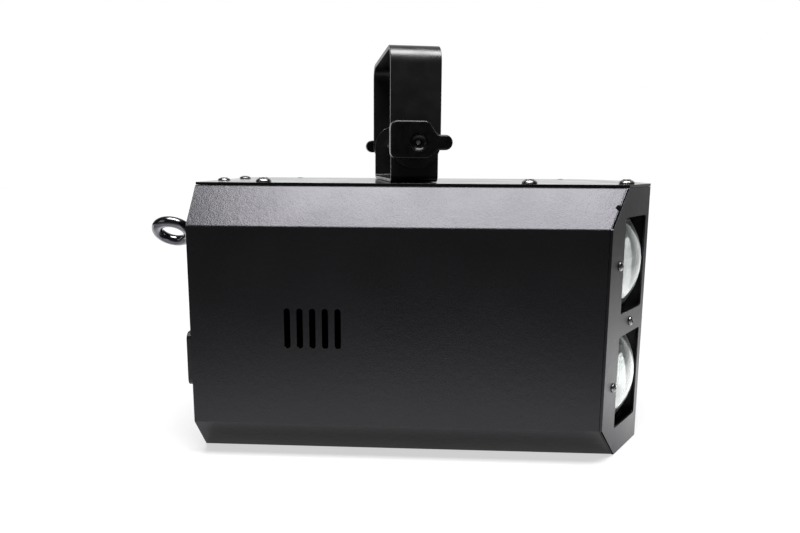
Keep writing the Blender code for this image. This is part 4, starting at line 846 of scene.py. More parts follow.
def domed_head(radius, height):
    """A domed screw head with a cross recess, standing on z = 0."""
    rings = [circle(radius * 0.96), circle(radius, height * 0.08)]
    for i in range(1, 7):
        angle = math.pi / 2 * i / 8
        rings.append(circle(radius * math.cos(angle), height * (0.12 + 0.88 * math.sin(angle))))
    level = rings[-1][0][2]
    rings.append(cross_recess(radius * 0.52, radius * 0.15, level + height * 0.03))
    rings.append(cross_recess(radius * 0.40, radius * 0.11, level - height * 0.45))
    return loft(rings)


def nut(across, height, bore, edge=0.0005, lead=0.0004):
    """A hexagon nut with chamfered corners and an open bore, standing on z = 0."""
    rings = []
    for z, trim in ((0.0, edge * 1.6), (edge, 0.0), (height - edge, 0.0), (height, edge * 1.6)):
        rings.append(trimmed_hexagon(across, z, trim))
    for radius, z in ((bore + lead, height), (bore, height - lead), (bore, lead), (bore + lead, 0.0)):
        rings.append(circle(radius, z, 48))
    return loft(rings, looped=True)


def steel_nut(name, place, hides, body="case"):
    made = nut(NUT_ACROSS, NUT_HEIGHT, STUD_RADIUS + NUT_PLAY)
    piece(name, made, "zinc_steel", place, hides, body)


def screws(name, places, radius, height):
    """Like screws as one piece, each head standing on its place with its recess turned its own way."""
    heads = []
    for i, place in enumerate(places):
        heads.append((domed_head(radius, height), place @ Matrix.Rotation(HEAD_TURN * i, 4, "Z")))
    piece(name, joined(*heads), "dark_screw")


# Case


def face_screw_places():
    """The screws through the front faces into the lens frames' posts."""
    places = []
    for face, side in FACES:
        reaches = (-CENTRE_POST, CENTRE_POST) if side == 0 else (side * SIDE_POST,)
        spots = [(x, y) for x in reaches for y in (-POST_RISE, POST_RISE)]
        places += [shifted(face_place(side), x, y, PROUD) for x, y in [*spots, (0.0, 0.0)]]
    return places


def lid_plate():
    """The flat lid, with its corners and edges eased and the hole for the swivel bolt."""
    edge = CENTRE_FACE_WIDTH / 2
    side = TIP_X - (FLAT_HALF_WIDTH - edge) * math.tan(NOSE_ANGLE)
    half = [(REAR_X, -FLAT_HALF_WIDTH), (side, -FLAT_HALF_WIDTH), (TIP_X, -edge)]
    outline = rounded(half + [(x, -y) for x, y in reversed(half)], 0.0012, 3)
    hole = [(BRACKET_X + x, y) for x, y, _ in circle(STUD_RADIUS + BORE_PLAY)]
    place = upright(0, 0, CASE_HEIGHT - LID_SHEET)
    lid = piece("case_lid", plate([outline, hole], LID_SHEET), "lid_paint", place, "lid")
    eased(lid, sizes().edge_radius)


def painted_seam_strip(side, end):
    """A thin black strip of painted shade along the seam on one bevel of the case, with the notch where the
    folded sheet meets the front.
    """
    top = CASE_HEIGHT - LID_SHEET if end > 0 else 0.0
    outer = Vector((TIP_X - NOSE_DEPTH, side * CASE_WIDTH / 2, top - end * CHAMFER_HEIGHT))
    inner = Vector((outer.x + CHAMFER_WIDTH * math.tan(NOSE_ANGLE), side * FLAT_HALF_WIDTH, top))
    along = inner - outer
    normal = Vector((0, side * CHAMFER_HEIGHT, end * CHAMFER_WIDTH)).normalized()
    reach = along.length
    start, stop = 0.0009, reach - 0.0011
    if end > 0:
        line = [(start, 0.0), (start, 0.0013), (0.44 * reach, 0.0013), (0.47 * reach, 0.0040)]
        line += [(0.53 * reach, 0.0036), (0.55 * reach, 0.0011), (stop, 0.0010), (stop, 0.0)]
    else:
        line = [(start, 0.0), (start, 0.0010), (stop, 0.0008), (stop, 0.0)]
    outline = [(u, -side * end * v) for u, v in line]
    return plate([outline], SHADE_STRIP_THICKNESS), axes(outer - normal * PROUD, along, normal)


class PARTYLIGHT_OT_case(bpy.types.Operator):
    """Coats the folded case and adds its lid and screws"""

    bl_idname = "party_light.case"
    bl_label = "Case"

    def execute(self, context):
        paint("powder_coat", "body_shell", "front_panel", "rear_panel")
        lid_plate()
        # Black strips of painted shade along the seam of each of the four bevels
        shade_strips = [painted_seam_strip(side, end) for side in (-1, 1) for end in (-1, 1)]
        piece("corner_seams", joined(*shade_strips), "open_gap")
        given = sizes()
        radius, height = given.face_screw_radius, given.face_screw_height
        screws("lid_screws", on_lid(LID_SCREWS), given.lid_screw_radius, given.lid_screw_height)
        screws("sunk_lid_screws", on_lid(SUNK_SCREWS, SUNK_DEPTH), radius, SUNK_SCREW_HEIGHT)
        screws("low_lid_screws", on_lid(LOW_SCREWS), LOW_SCREW_RADIUS, LOW_SCREW_HEIGHT)
        screws("face_screws", face_screw_places(), radius, height)
        screws("rear_screws", [rearward(-PROUD, y, z) for y, z in REAR_SCREWS], radius, height)
        return {"FINISHED"}


# Lenses


def polar_reach(angle, half_width, half_height):
    """How far a rectangle reaches from its middle at an angle."""
    across, up = abs(math.cos(angle)), abs(math.sin(angle))
    return min(half_width / max(across, 1e-9), half_height / max(up, 1e-9))


def lens_mesh():
    """A plano-convex dome trimmed at its sides, on a flat flange, as one closed body, its back at z = 0."""
    angles = round_angles(sizes().lens_segments)
    half_width, half_height = LENS_WIDTH / 2, LENS_HEIGHT / 2
    corner = math.atan2(half_height, half_width)
    for turn in (corner, math.pi - corner, math.pi + corner, 2 * math.pi - corner):
        nearest = min(range(len(angles)), key=lambda i: abs(angles[i] - turn))
        angles[nearest] = turn
    inset = 0.0004
    reach = [min(DOME_RIM, polar_reach(a, half_width - inset, half_height - inset)) for a in angles]
    edge = [polar_reach(a, half_width, half_height) for a in angles]
    rings = []
    for share in (0.012, 0.1, 0.2, 0.3, 0.4, 0.5, 0.6, 0.7, 0.8, 0.88, 0.95, 1.0):
        ring = []
        for angle, limit in zip(angles, reach):
            rise = math.sqrt(LENS_SPHERE**2 - (limit * share) ** 2) - DOME_BASE
            ring.append(spoke(limit * share, angle, max(rise, PROUD) + LENS_FLANGE))
        rings.append(ring)
    for reaches, level in ((reach, LENS_FLANGE), (edge, LENS_FLANGE - PROUD), (edge, 0.0)):
        rings.append([spoke(r, a, level) for a, r in zip(angles, reaches)])
    return loft(rings)


def gasket_mesh():
    """The black gasket on a lens's flange, open where its dome stands through."""
    inner = []
    for angle in round_angles(96):
        reach = min(DOME_RIM + 0.0005, polar_reach(angle, LENS_WIDTH / 2 + 0.0003, LENS_HEIGHT / 2 - 0.0004))
        inner.append(spoke(reach, angle)[:2])
    return plate([soft_rectangle(LENS_WIDTH + 0.0016, LENS_HEIGHT + 0.001, 0.002), inner], 0.0016)


class PARTYLIGHT_OT_lenses(bpy.types.Operator):
    """Adds the six domed lenses, their gaskets, the frames that hold them and the sheets between the beams"""

    bl_idname = "party_light.lenses"
    bl_label = "Lenses"

    def execute(self, context):
        for face, side in FACES:
            for row, rise in ROWS:
                place = shifted(face_place(side), 0, rise, -LENS_BACK - LENS_FLANGE)
                name = f"lens_{face}_{row}"
                piece(f"domed_{name}", lens_mesh(), "lens_acrylic", place, name)
                seat = shifted(place, z=LENS_FLANGE + 0.0002)
                piece(f"gasket_{face}_{row}", gasket_mesh(), "gasket_rubber", seat)
            paint("satin_paint", f"lens_frame_{face}")
        for name, side in zip(SIDES, (-1, 1)):
            turn = side * NOSE_ANGLE / 2
            inwards = Vector((-math.cos(turn), -math.sin(turn), 0))
            ridge = Vector((TIP_X, side * CENTRE_FACE_WIDTH / 2, BAFFLE_FROM_FLOOR))
            place = axes(ridge + inwards * (BAFFLE_DEPTH / 2 + BAFFLE_FROM_RIDGE), inwards, (0, 0, 1))
            sheet = block(BAFFLE_DEPTH, BAFFLE_SHEET, CASE_HEIGHT - 2 * BAFFLE_FROM_FLOOR, 0.0002)
            piece(f"beam_baffle_{name}", sheet, "drum_plastic", place)
        return {"FINISHED"}


# Light source


class PARTYLIGHT_OT_light_source(bpy.types.Operator):
    """Finishes the drum, its motor and the finned column, and adds the emitters"""

    bl_idname = "party_light.light_source"
    bl_label = "Light source"

    def execute(self, context):
        paint("drum_plastic", "beam_drum")
        paint("turned_brass", "drum_hub")
        paint("zinc_steel", "motor_shaft", "motor_bridge")
        paint("motor_metal", "drum_motor")
        paint("extruded_aluminium", "light_column")
        paint("white_board", "led_board_right", "led_board_centre", "led_board_left")
        for face, side in FACES:
            self.emitters(face, side)
        return {"FINISHED"}

    def emitters(self, face, side):
        """A phosphor disc in the mouth of each collimating cup, and a clear cap over it."""
        across, normal = face_axes(side)
        middle = Vector((DRUM_X, side * BOARD_SHIFT, WINDOW_MIDDLE)) + across * side * BOARD_SHIFT
        board = axes(middle + normal * SEAT_GAP, across, normal)
        discs, caps = [], []
        for row, rise in ROWS:
            mouth = shifted(board, 0, rise, CUP_MOUTH)
            discs.append((turned([(0.0, 0.0), (0.0055, 0.0), (0.0055, 0.0006), (0.0, 0.0008)], 32), mouth))
            dome = [(CUP_RADIUS, 0.0009), (CUP_RADIUS + 0.0002, 0.0013)]
            for angle in (0.3, 0.6, 0.9, 1.2, 1.5):
                dome.append((CUP_RADIUS * math.cos(angle), 0.0014 + 0.0030 * math.sin(angle)))
            caps.append((turned(dome, 40), mouth))
        piece(f"emitters_{face}", joined(*discs), "phosphor")
        piece(f"cup_caps_{face}", joined(*caps), "cup_acrylic")


# Hanging bracket

# Each strip: its width, its width over the arms, how high its web and its arms' ends are above the pivot,
# the radius of its bends, its thickness, and the (radius, place) of each hole in its web
YOKE_HOLES = ((0.0065, 0.0), (0.004, -0.026), (0.004, 0.026))
YOKE = (0.038, 0.1254, BRACKET_TOP - PIVOT_Z, -0.019, 0.014, 0.003, YOKE_HOLES)
BASE = (0.036, 0.1162, SEAT_GAP - (PIVOT_Z - CASE_HEIGHT), 0.018, 0.005, 0.0025, ((0.0044, 0.0),))
CUTTER_REACH = 0.2
WASHER_RADIUS = 0.013
WASHER_BORE = 0.0044
WASHER_EDGE = 0.0004
YOKE_HALF = YOKE[1] / 2
YOKE_SHEET = YOKE[5]
BASE_HALF = BASE[1] / 2
BASE_SHEET = BASE[5]


def bent_strip(name, node, body, strip, outer_width, web, tip, bend, sheet, holes):
    """A steel strip bent into a U, its arms rounded about the pivot, with holes cut through it."""
    half = outer_width / 2
    away = 1 if tip < web else -1
    line = [(half, tip), (half, web), (-half, web), (-half, tip)]
    line = rounded(line[::away], bend, 14, closed=False)
    made = bmesh.new()
    near = [made.verts.new((-strip / 2, y, z)) for y, z in line]
    far = [made.verts.new((strip / 2, y, z)) for y, z in line]
    for a, b, c, d in zip(near, near[1:], far[1:], far):
        made.faces.new((a, d, c, b))
    item = piece(name, made, "satin_paint", None, node, body)
    solid = item.modifiers.new("sheet", "SOLIDIFY")
    solid.thickness = sheet
    solid.offset = 1
    solid.use_even_offset = True
    start = math.pi if away > 0 else 0.0
    outline = [spoke(strip / 2, start + math.pi * i / 28)[:2] for i in range(29)]
    outline += [(outline[-1][0], away * CUTTER_REACH), (outline[0][0], away * CUTTER_REACH)]
    across = axes((0, outer_width, 0), (1, 0, 0), (0, -1, 0))
    bore = STUD_RADIUS + BORE_PLAY
    cutters = [("INTERSECT", plate([outline], 2 * outer_width), across)]
    cutters.append(("DIFFERENCE", turned([(bore, 0.0), (bore, 2 * outer_width)], 40), across))
    for radius, y in holes:
        hole = turned([(radius, -4 * sheet), (radius, 4 * sheet)], 40)
        cutters.append(("DIFFERENCE", hole, Matrix.Translation((0, y, web))))
    helpers = []
    for operation, cutter, at in cutters:
        helper = linked("cutter", new_mesh("cutter", cutter))
        helper.data.transform(at)
        helpers.append(helper)
        modifier = item.modifiers.new("shape", "BOOLEAN")
        modifier.operation = operation
        modifier.object = helper
        modifier.solver = "EXACT"
    baked(item)
    for helper in helpers:
        bpy.data.meshes.remove(helper.data)
    item.modifiers.new("weld", "WELD").merge_threshold = 1e-6
    item.data.transform(upright(BRACKET_X, 0, PIVOT_Z, BRACKET_TURN))
    eased(item, 0.0005, 40)
    baked(item)
    smoothed(item.data, 50)


class PARTYLIGHT_OT_hanging_bracket(bpy.types.Operator):
    """Adds the yoke and the base bracket, with their bolt, nuts and washers"""

    bl_idname = "party_light.hanging_bracket"
    bl_label = "Hanging bracket"

    def execute(self, context):
        bent_strip("yoke_strip", "yoke_bracket", "yoke", *YOKE)
        bent_strip("base_strip", "base_bracket", "swivel", *BASE)
        seat = upright(BRACKET_X, 0, CASE_HEIGHT + 2 * SEAT_GAP + BASE_SHEET, BRACKET_TURN)
        head = [circle(0.0048, 0.0053, 48)]
        for z, trim in ((0.0050, 0.0009), (0.0042, 0.0), (0.0004, 0.0), (0.0, 0.0004)):
            head.append(trimmed_hexagon(NUT_ACROSS, z, trim))
        shank = turned([(0.0, -0.0170), (0.0034, -0.0168), (STUD_RADIUS, -0.0160), (STUD_RADIUS, 0.002)], 32)
        bolt = joined((loft(head), Matrix()), (shank, Matrix()))
        piece("swivel_bolt_head", bolt, "zinc_steel", seat, "swivel_bolt", "swivel")
        under = upright(BRACKET_X, 0, CASE_HEIGHT - LID_SHEET - SEAT_GAP - NUT_HEIGHT, BRACKET_TURN)
        steel_nut("swivel_lock_nut", under, "swivel_nut", "swivel")
        inner = BASE_HALF + SEAT_GAP
        width = YOKE_HALF - YOKE_SHEET - SEAT_GAP - inner
        rim, face = WASHER_RADIUS, WASHER_RADIUS - WASHER_EDGE
        profile = [(WASHER_BORE, 0.0), (face, 0.0), (rim, 0.0003), (rim, width - 0.0003)]
        profile += [(face, width), (WASHER_BORE, width)]
        for side in SIDES:
            washer = turned(profile, looped=True)
            place, node = bracket_side(side, inner), f"pivot_washer_{side}"
            piece(f"friction_washer_{side}", washer, "moulded_plastic", place, node, "swivel")
            place = bracket_side(side, BASE_HALF - BASE_SHEET - SEAT_GAP - NUT_HEIGHT)
            steel_nut(f"weld_nut_{side}", place, f"pivot_nut_{side}", "swivel")
        return {"FINISHED"}


# Clamp knobs


def knob_outline():
    """The wing knob seen from outside, its grip towards +X, with points close enough to turn into a round."""
    upper = [(0.0252, 0.0055), (0.0135, 0.0055), (0.0075, 0.0155), (-0.0206, 0.0155)]
    lower = [(-0.0206, -0.012), (0.0075, -0.012), (0.0135, -0.0055), (0.0252, -0.0055)]
    line = rounded(upper + lower, 0.0054, 7)
    close = []
    for (ax, ay), (bx, by) in zip(line, line[1:] + line[:1]):
        parts = max(1, round(math.hypot(bx - ax, by - ay) / 0.0011))
        close += [(ax + (bx - ax) * i / parts, ay + (by - ay) * i / parts) for i in range(parts)]
    return close


def inset_ring(outline, inset, z):
    """An outline that runs anticlockwise, drawn in by an inset along its own normals."""
    count = len(outline)
    ring = []
    for i, (x, y) in enumerate(outline):
        along = (Vector(outline[(i + 1) % count]) - Vector(outline[i - 1])).normalized()
        ring.append((x - along.y * inset, y + along.x * inset, z))
    return ring


def knob_mesh():
    """The moulded handle: its outline swept up with rounded edges, and a round dimple in its face."""
    outline = knob_outline()
    quarter = [math.pi / 8 * i for i in range(5)]
    levels = [(0.0, 0.0010)]
    for angle in quarter[1:]:
        levels.append((KNOB_EDGE * (1 - math.cos(angle)), KNOB_EDGE * (1 - math.sin(angle)) * 0.6))
    for angle in quarter:
        levels.append((KNOB_THICKNESS - KNOB_EDGE * (1 - math.sin(angle)), KNOB_EDGE * (1 - math.cos(angle))))
    levels.append((KNOB_THICKNESS, 0.0022))
    rings = [inset_ring(outline, inset, z) for z, inset in levels]
    for i in range(9):
        share = i / 8
        radius = KNOB_DIMPLE_RADIUS * math.cos(share * 1.35)
        depth = KNOB_DIMPLE_DEPTH * math.sin(share * math.pi / 2) ** 1.4
        rings.append([spoke(radius, math.atan2(y, x), KNOB_THICKNESS - depth) for x, y in outline])
    return loft(rings)


class PARTYLIGHT_OT_clamp_knobs(bpy.types.Operator):
    """Adds the two clamp knobs on the yoke's pivot"""

    bl_idname = "party_light.clamp_knobs"
    bl_label = "Clamp knobs"

    def execute(self, context):
        start = YOKE_HALF + SEAT_GAP
        rim = 0.0095
        collar = [(0.0, 0.0), (0.0088, 0.0), (rim, 0.0006), (rim, KNOB_COLLAR), (0.0, KNOB_COLLAR + 0.0006)]
        tip = BASE_HALF - BASE_SHEET - NUT_HEIGHT - 0.003 - start
        stud = [(0.0, tip), (0.0032, tip), (STUD_RADIUS, tip + 0.0008)]
        for i in range(int(-tip / THREAD_PITCH)):
            root = tip + 0.0010 + THREAD_PITCH * i
            stud += [(STUD_RADIUS - THREAD_DEPTH, root), (STUD_RADIUS, root + 0.0006)]
        stud += [(STUD_RADIUS, 0.001), (0.0, 0.001)]
        floor = KNOB_COLLAR + KNOB_THICKNESS - KNOB_DIMPLE_DEPTH
        insert = [(0.0, -0.0010), (0.0019, -0.0010), (0.0019, 0.0003), (0.0014, 0.0009), (0.0, 0.0011)]
        insert = [(r, z + floor) for r, z in insert]
        for side in SIDES:
            body = f"knob_{side}"
            place = bracket_side(side, start)
            lift = shifted(place, z=KNOB_COLLAR)
            evened(piece(f"knob_handle_{side}", knob_mesh(), "knob_plastic", lift, f"clamp_{body}", body))
            piece(f"knob_collar_{side}", turned(collar), "knob_plastic", place, body=body)
            piece(f"knob_stud_{side}", turned(stud, 32), "zinc_steel", place, body=body)
            piece(f"knob_insert_{side}", turned(insert, 32), "zinc_steel", place, body=body)
        return {"FINISHED"}


# Safety eye


class PARTYLIGHT_OT_safety_eye(bpy.types.Operator):
    """Adds the polished safety eye and its nut"""

    bl_idname = "party_light.safety_eye"
    bl_label = "Safety eye"

    def execute(self, context):
        y, z = EYE_PLACE
        place = Matrix.Translation((REAR_OUTER - SEAT_GAP, y, z)) @ Matrix.Rotation(EYE_ROLL, 4, "X")
        lying = shifted(place, -EYE_CENTRE) @ Matrix.Rotation(math.pi / 2, 4, "X")
        hoop = wire(circle(EYE_RING, 0, 96), EYE_WIRE, closed=True, sides=28)
        shank = [(0.0, -0.012), (0.0034, -0.012), (STUD_RADIUS, -0.0114)]
        for i in range(8):
            root = THREAD_PITCH * i - 0.0110
            shank += [(STUD_RADIUS - THREAD_DEPTH, root), (STUD_RADIUS, root + 0.0006)]
        shank += [(STUD_RADIUS, 0.0), (0.0070, 0.0), (0.0075, 0.0004), (0.0075, 0.0025), (0.0070, 0.0030)]
        foot, top, reach = 0.0056, 0.0030, EYE_CENTRE - EYE_RING
        for i in range(9):
            radius = foot + (EYE_WIRE * 0.98 - foot) * math.sin(math.pi / 16 * i)
            shank.append((radius, top + (reach - top) * i / 8))
        shank.append((0.0, reach + 0.0002))
        backward = place @ axes((0, 0, 0), (0, -1, 0), (-1, 0, 0))
        eye = joined((hoop, lying), (turned(shank), backward))
        piece("polished_eye", eye, "black_nickel", None, "safety_eye")
        steel_nut("eye_lock_nut", rearward(SHEET + SEAT_GAP + NUT_HEIGHT, y, z), "safety_eye_nut")
        return {"FINISHED"}


# Fan

GUARD_WIRE = 0.0009
GUARD_REACH = 0.034
GUARD_FIRST_RING = 0.010
GUARD_RING_PITCH = 0.0065


class PARTYLIGHT_OT_fan(bpy.types.Operator):
    """Finishes the fan and adds its wire guard and screws"""

    bl_idname = "party_light.fan"
    bl_label = "Fan"

    def execute(self, context):
        y, z = FAN_PLACE
        paint("moulded_plastic", "fan_frame", "fan_rotor")
        wires = []
        for i in range(4):
            ring = circle(GUARD_FIRST_RING + GUARD_RING_PITCH * i, GUARD_WIRE, 64)
            wires.append((wire(ring, GUARD_WIRE, closed=True), Matrix()))
        for i in range(2):
            turn = Matrix.Rotation(math.pi / 4 + math.pi / 2 * i, 4, "Z")
            wires.append((wire([(-GUARD_REACH, 0, 0), (0, 0, 0), (GUARD_REACH, 0, 0)], GUARD_WIRE), turn))
        piece("wire_guard", joined(*wires), "zinc_steel", rearward(-SEAT_GAP - GUARD_WIRE, y, z), "fan_guard")
        ends = (-FAN_HOLE_REACH, FAN_HOLE_REACH)
        screws("fan_screws", [rearward(-0.0013, y + a, z + b) for a in ends for b in ends], 0.0034, 0.0018)
        cap = turned([(0.0, 0.0), (0.0118, 0.0), (0.0118, 0.0004), (0.0110, 0.0008), (0.0, 0.0009)], 40)
        piece("fan_hub_cap", cap, "knob_plastic", rearward(SHEET + SEAT_GAP + 0.0015, y, z), body="fan")
        return {"FINISHED"}


# Connectors

CONTACT_CIRCLE = 0.0046
CONTACT_DEPTH = 0.012
BLADE_PITCH = 0.007
BLADE_STEP = 0.0016
BLADE_DEPTH = 0.0094


class PARTYLIGHT_OT_connectors(bpy.types.Operator):
    """Finishes the power inlet and the data sockets, and adds their contacts and screws"""

    bl_idname = "party_light.connectors"
    bl_label = "Connectors"

    def execute(self, context):
        paint("moulded_plastic", "power_inlet", "data_input_socket", "data_output_socket")
        paint("knob_plastic", "fuse_drawer")
        y, z = INLET_PLACE
        floor = rearward(-SEAT_GAP, y, z + 0.007)
        blades = []
        for i, step in ((-1, -1), (0, 1), (1, -1)):
            spot = shifted(floor, BLADE_PITCH * i, BLADE_STEP * step, -BLADE_DEPTH)
            blades.append((block(0.00215, 0.00415, 0.0121, 0.0004), spot))
        piece("inlet_blades", joined(*blades), "zinc_steel")
        pin = [(0.0, 0.0), (0.0013, 0.0), (0.0013, 0.0085), (0.0008, 0.0092), (0.0, 0.0093)]
        tube = [(0.0013, 0.0), (0.0013, 0.0125), (0.0010, 0.0125), (0.0010, 0.0)]
        rim = [(0.0100, 0.0020), (0.0116, 0.0020), (0.0116, 0.0024), (0.0112, 0.0028), (0.0104, 0.0028)]
        rim.append((0.0100, 0.0024))
        contacts, rims, heads = [], [], []
        for socket_y, contact in zip(SOCKET_YS, (pin, tube)):
            face = rearward(-SEAT_GAP, socket_y, SOCKET_Z)
            for i in range(3):
                spot = spoke(CONTACT_CIRCLE, math.pi / 2 + 2 * math.pi * i / 3, -CONTACT_DEPTH)
                contacts.append((turned(contact, 20, looped=contact is tube), shifted(face, *spot)))
            rims.append((turned(rim, looped=True), face))
            heads += [shifted(face, *spot) for spot in ((-0.0098, 0.0125, 0.0021), (0.0098, -0.0125, 0.0021))]
        piece("socket_contacts", joined(*contacts), "turned_brass")
        piece("socket_rims", joined(*rims), "zinc_steel")
        screws("socket_screws", heads, 0.0024, 0.0013)
        return {"FINISHED"}


# Control panel

# Which bars of a digit are lit, and each bar's place as shares across and up, and whether it stands
LIT_BARS = {"0": "abcdef", "1": "bc"}
BARS = {
    "a": (0.0, 1.0, 0),
    "b": (1.0, 0.5, 1),
    "c": (1.0, -0.5, 1),
    "d": (0.0, -1.0, 0),
    "e": (-1.0, -0.5, 1),
    "f": (-1.0, 0.5, 1),
    "g": (0.0, 0.0, 0),
}
DIGIT_PITCH = 0.0105
DIGIT_HALF_WIDTH = 0.0030
DIGIT_HALF_HEIGHT = 0.0060
BAR_LENGTH = 0.0054
BAR_WIDTH = 0.0011
BAR_HEIGHT = 0.0004
BUTTON_RADIUS = 0.0035
BUTTON_FLANGE = 0.0045


def segment_bar():
    """One pointed bar of a seven segment digit."""
    half, w = BAR_LENGTH / 2, BAR_WIDTH / 2
    outline = [(-half, 0), (-half + w, -w), (half - w, -w), (half, 0), (half - w, w), (-half + w, w)]
    return loft([[(x, y, z) for x, y in outline] for z in (0, BAR_HEIGHT)])


def button_place(number, inwards):
    y = DISPLAY_PLACE[0] + BUTTON_PITCH * (1.5 - number)
    return rearward(inwards, y, BUTTON_Z)


class PARTYLIGHT_OT_control_panel(bpy.types.Operator):
    """Adds the display with its digits, the menu buttons, the microphone and the board behind them"""

    bl_idname = "party_light.control_panel"
    bl_label = "Control panel"

    def execute(self, context):
        face = rearward(-SEAT_GAP, *DISPLAY_PLACE)
        rim = [soft_rectangle(0.043, 0.023, 0.0015), soft_rectangle(0.0372, 0.0172, 0.0008)]
        eased(piece("display_rim", plate(rim, 0.0015), "moulded_plastic", face), 0.0003)
        pane = plate([soft_rectangle(0.0370, 0.0170, 0.0008)], 0.0010)
        piece("display_pane", pane, "window_red", shifted(face, z=PROUD), "display_window")
        back = block(0.0392, 0.0192, 0.0030, 0.0003)
        piece("display_back", back, "display_back", shifted(face, z=-0.0050))
        self.digits(shifted(face, z=-0.0020))
        self.buttons()
        paint("green_board", "control_board")
        paint("extruded_aluminium", "microphone")
        plunger = [(0.0, 0.0), (0.0017, 0.0), (0.0017, 0.0010), (0.0, 0.0012)]
        switches = [(turned(plunger, 24), button_place(i, 0.0087 - BUTTON_PROUD)) for i in range(4)]
        piece("switch_plungers", joined(*switches), "knob_plastic")
        felt = turned([(0.0, 0.0), (0.0040, 0.0), (0.0040, 0.0002), (0.0, 0.0003)], 32)
        piece("microphone_felt", felt, "gasket_rubber", rearward(SHEET + 0.00028, *MICROPHONE_PLACE))
        return {"FINISHED"}

    def digits(self, place):
        """Three digits that show channel 001, lit and unlit bars apart."""
        lit, dark = [], []
        for i, digit in enumerate("001"):
            for bar, (across, up, standing) in BARS.items():
                x = (i - 1) * DIGIT_PITCH + DIGIT_HALF_WIDTH * across
                turn = Matrix.Rotation(math.pi / 2 * standing, 4, "Z")
                spot = shifted(place, x, DIGIT_HALF_HEIGHT * up) @ turn
                (lit if bar in LIT_BARS[digit] else dark).append((segment_bar(), spot))
        piece("digits_lit", joined(*lit), "lit_segment")
        piece("digits_dark", joined(*dark), "dark_segment")

    def buttons(self):
        """The domed caps, each with a flange behind the plate and a stem to its switch."""
        profile = [(0.0, 0.0), (0.0020, -0.0001), (0.0029, -0.0003), (0.0034, -0.0007)]
        profile += [(BUTTON_RADIUS, -0.0012), (BUTTON_RADIUS, -0.0034)]
        profile += [(BUTTON_FLANGE, -0.0034), (BUTTON_FLANGE, -0.0044)]
        profile += [(0.0020, -0.0044), (0.0020, -0.0065), (0.0, -0.0065)]
        for i in range(4):
            name = f"button_{i + 1}"
            cap, place = turned(profile, 40), button_place(i, -BUTTON_PROUD)
            piece(f"button_cap_{i + 1}", cap, "knob_plastic", place, f"menu_{name}", name)


# Supply board

# Each capacitor's place on the board, radius and height
CAPACITORS = (
    (-0.034, -0.014, 0.0085, 0.0276),
    (0.026, -0.020, 0.006, 0.0196),
    (0.042, -0.020, 0.006, 0.0196),
)
CARD_WIDTH = 0.110
CARD_DEPTH = 0.074
POST_SPREAD = (0.098, 0.062)
CORE_LENGTH = 0.034
CORE_EDGE = 0.0006
FIN_SHEET = 0.0012
FIN_HEIGHT = 0.0215
FIN_EDGE = 0.0002


class PARTYLIGHT_OT_supply(bpy.types.Operator):
    """Dresses the mains supply board with its parts"""

    bl_idname = "party_light.supply"
    bl_label = "Mains supply"

    def execute(self, context):
        floor = upright(REAR_X + SUPPLY_FROM_REAR, SUPPLY_Y, SHEET + SEAT_GAP)
        board = plate([soft_rectangle(CARD_WIDTH, CARD_DEPTH, 0.001)], SUPPLY_SHEET)
        piece("supply_card", board, "green_board", shifted(floor, z=SUPPLY_STAND), "supply_board")
        deck = shifted(floor, z=SUPPLY_STAND + SUPPLY_SHEET)
        corners = rectangle(*POST_SPREAD)
        posts = [(nut(0.0055, SUPPLY_STAND, 0.0014), shifted(floor, a, b)) for a, b in corners]
        piece("supply_posts", joined(*posts), "turned_brass")
        screws("supply_screws", [shifted(deck, a, b) for a, b in corners], 0.0026, 0.0014)
        bars = []
        for depth, height, y, z in (
            (0.009, 0.0250, -0.0100, 0.0),
            (0.009, 0.0250, 0.0100, 0.0),
            (0.0288, 0.005, 0.0, 0.0005),
            (0.0288, 0.005, 0.0, 0.0200),
        ):
            bars.append((block(CORE_LENGTH, depth, height, CORE_EDGE), Matrix.Translation((0, y, z))))
        core = shifted(deck, -0.004, 0.004)
        piece("transformer_core", joined(*bars), "ferrite", core)
        tape = block(0.028, 0.0294, 0.0145, 0.0015)
        piece("transformer_tape", tape, "transformer_tape", shifted(core, z=0.0052))
        fins = [(block(0.030, FIN_SHEET, FIN_HEIGHT, FIN_EDGE), Matrix.Translation((0, 0.0013, 0)))]
        for i in range(6):
            fin = block(FIN_SHEET, 0.0026, FIN_HEIGHT, FIN_EDGE)
            fins.append((fin, Matrix.Translation((0.0056 * i - 0.0140, -0.0004, 0))))
        piece("supply_heat_sink", joined(*fins), "extruded_aluminium", shifted(deck, 0.034, 0.014))
        coil = [(0.004, 0.0), (0.0098, 0.0), (0.0100, 0.0010), (0.0100, 0.0125)]
        coil += [(0.0092, 0.0138), (0.004, 0.0138)]
        piece("filter_coil", turned(coil, 40, looped=True), "winding_copper", shifted(deck, -0.038, 0.016))
        sleeves, tops = [], []
        for x, y, radius, height in CAPACITORS:
            place = shifted(deck, x, y)
            neck = radius * 0.94
            sleeve = [(radius * 0.8, 0.0), (neck, 0.0006), (neck, 0.0016), (radius, 0.0028)]
            sleeve += [(radius, height - 0.0012), (radius * 0.93, height - 0.0002), (radius * 0.84, height)]
            sleeves.append((turned(sleeve, 40), place))
            low, high = height - 0.0002, height + 0.0003
            top = [(0.0, low), (radius * 0.82, low), (radius * 0.80, high), (0.0, high)]
            tops.append((turned(top, 32), place))
        piece("capacitors", joined(*sleeves), "capacitor_sleeve")
        piece("capacitor_tops", joined(*tops), "extruded_aluminium")
        return {"FINISHED"}
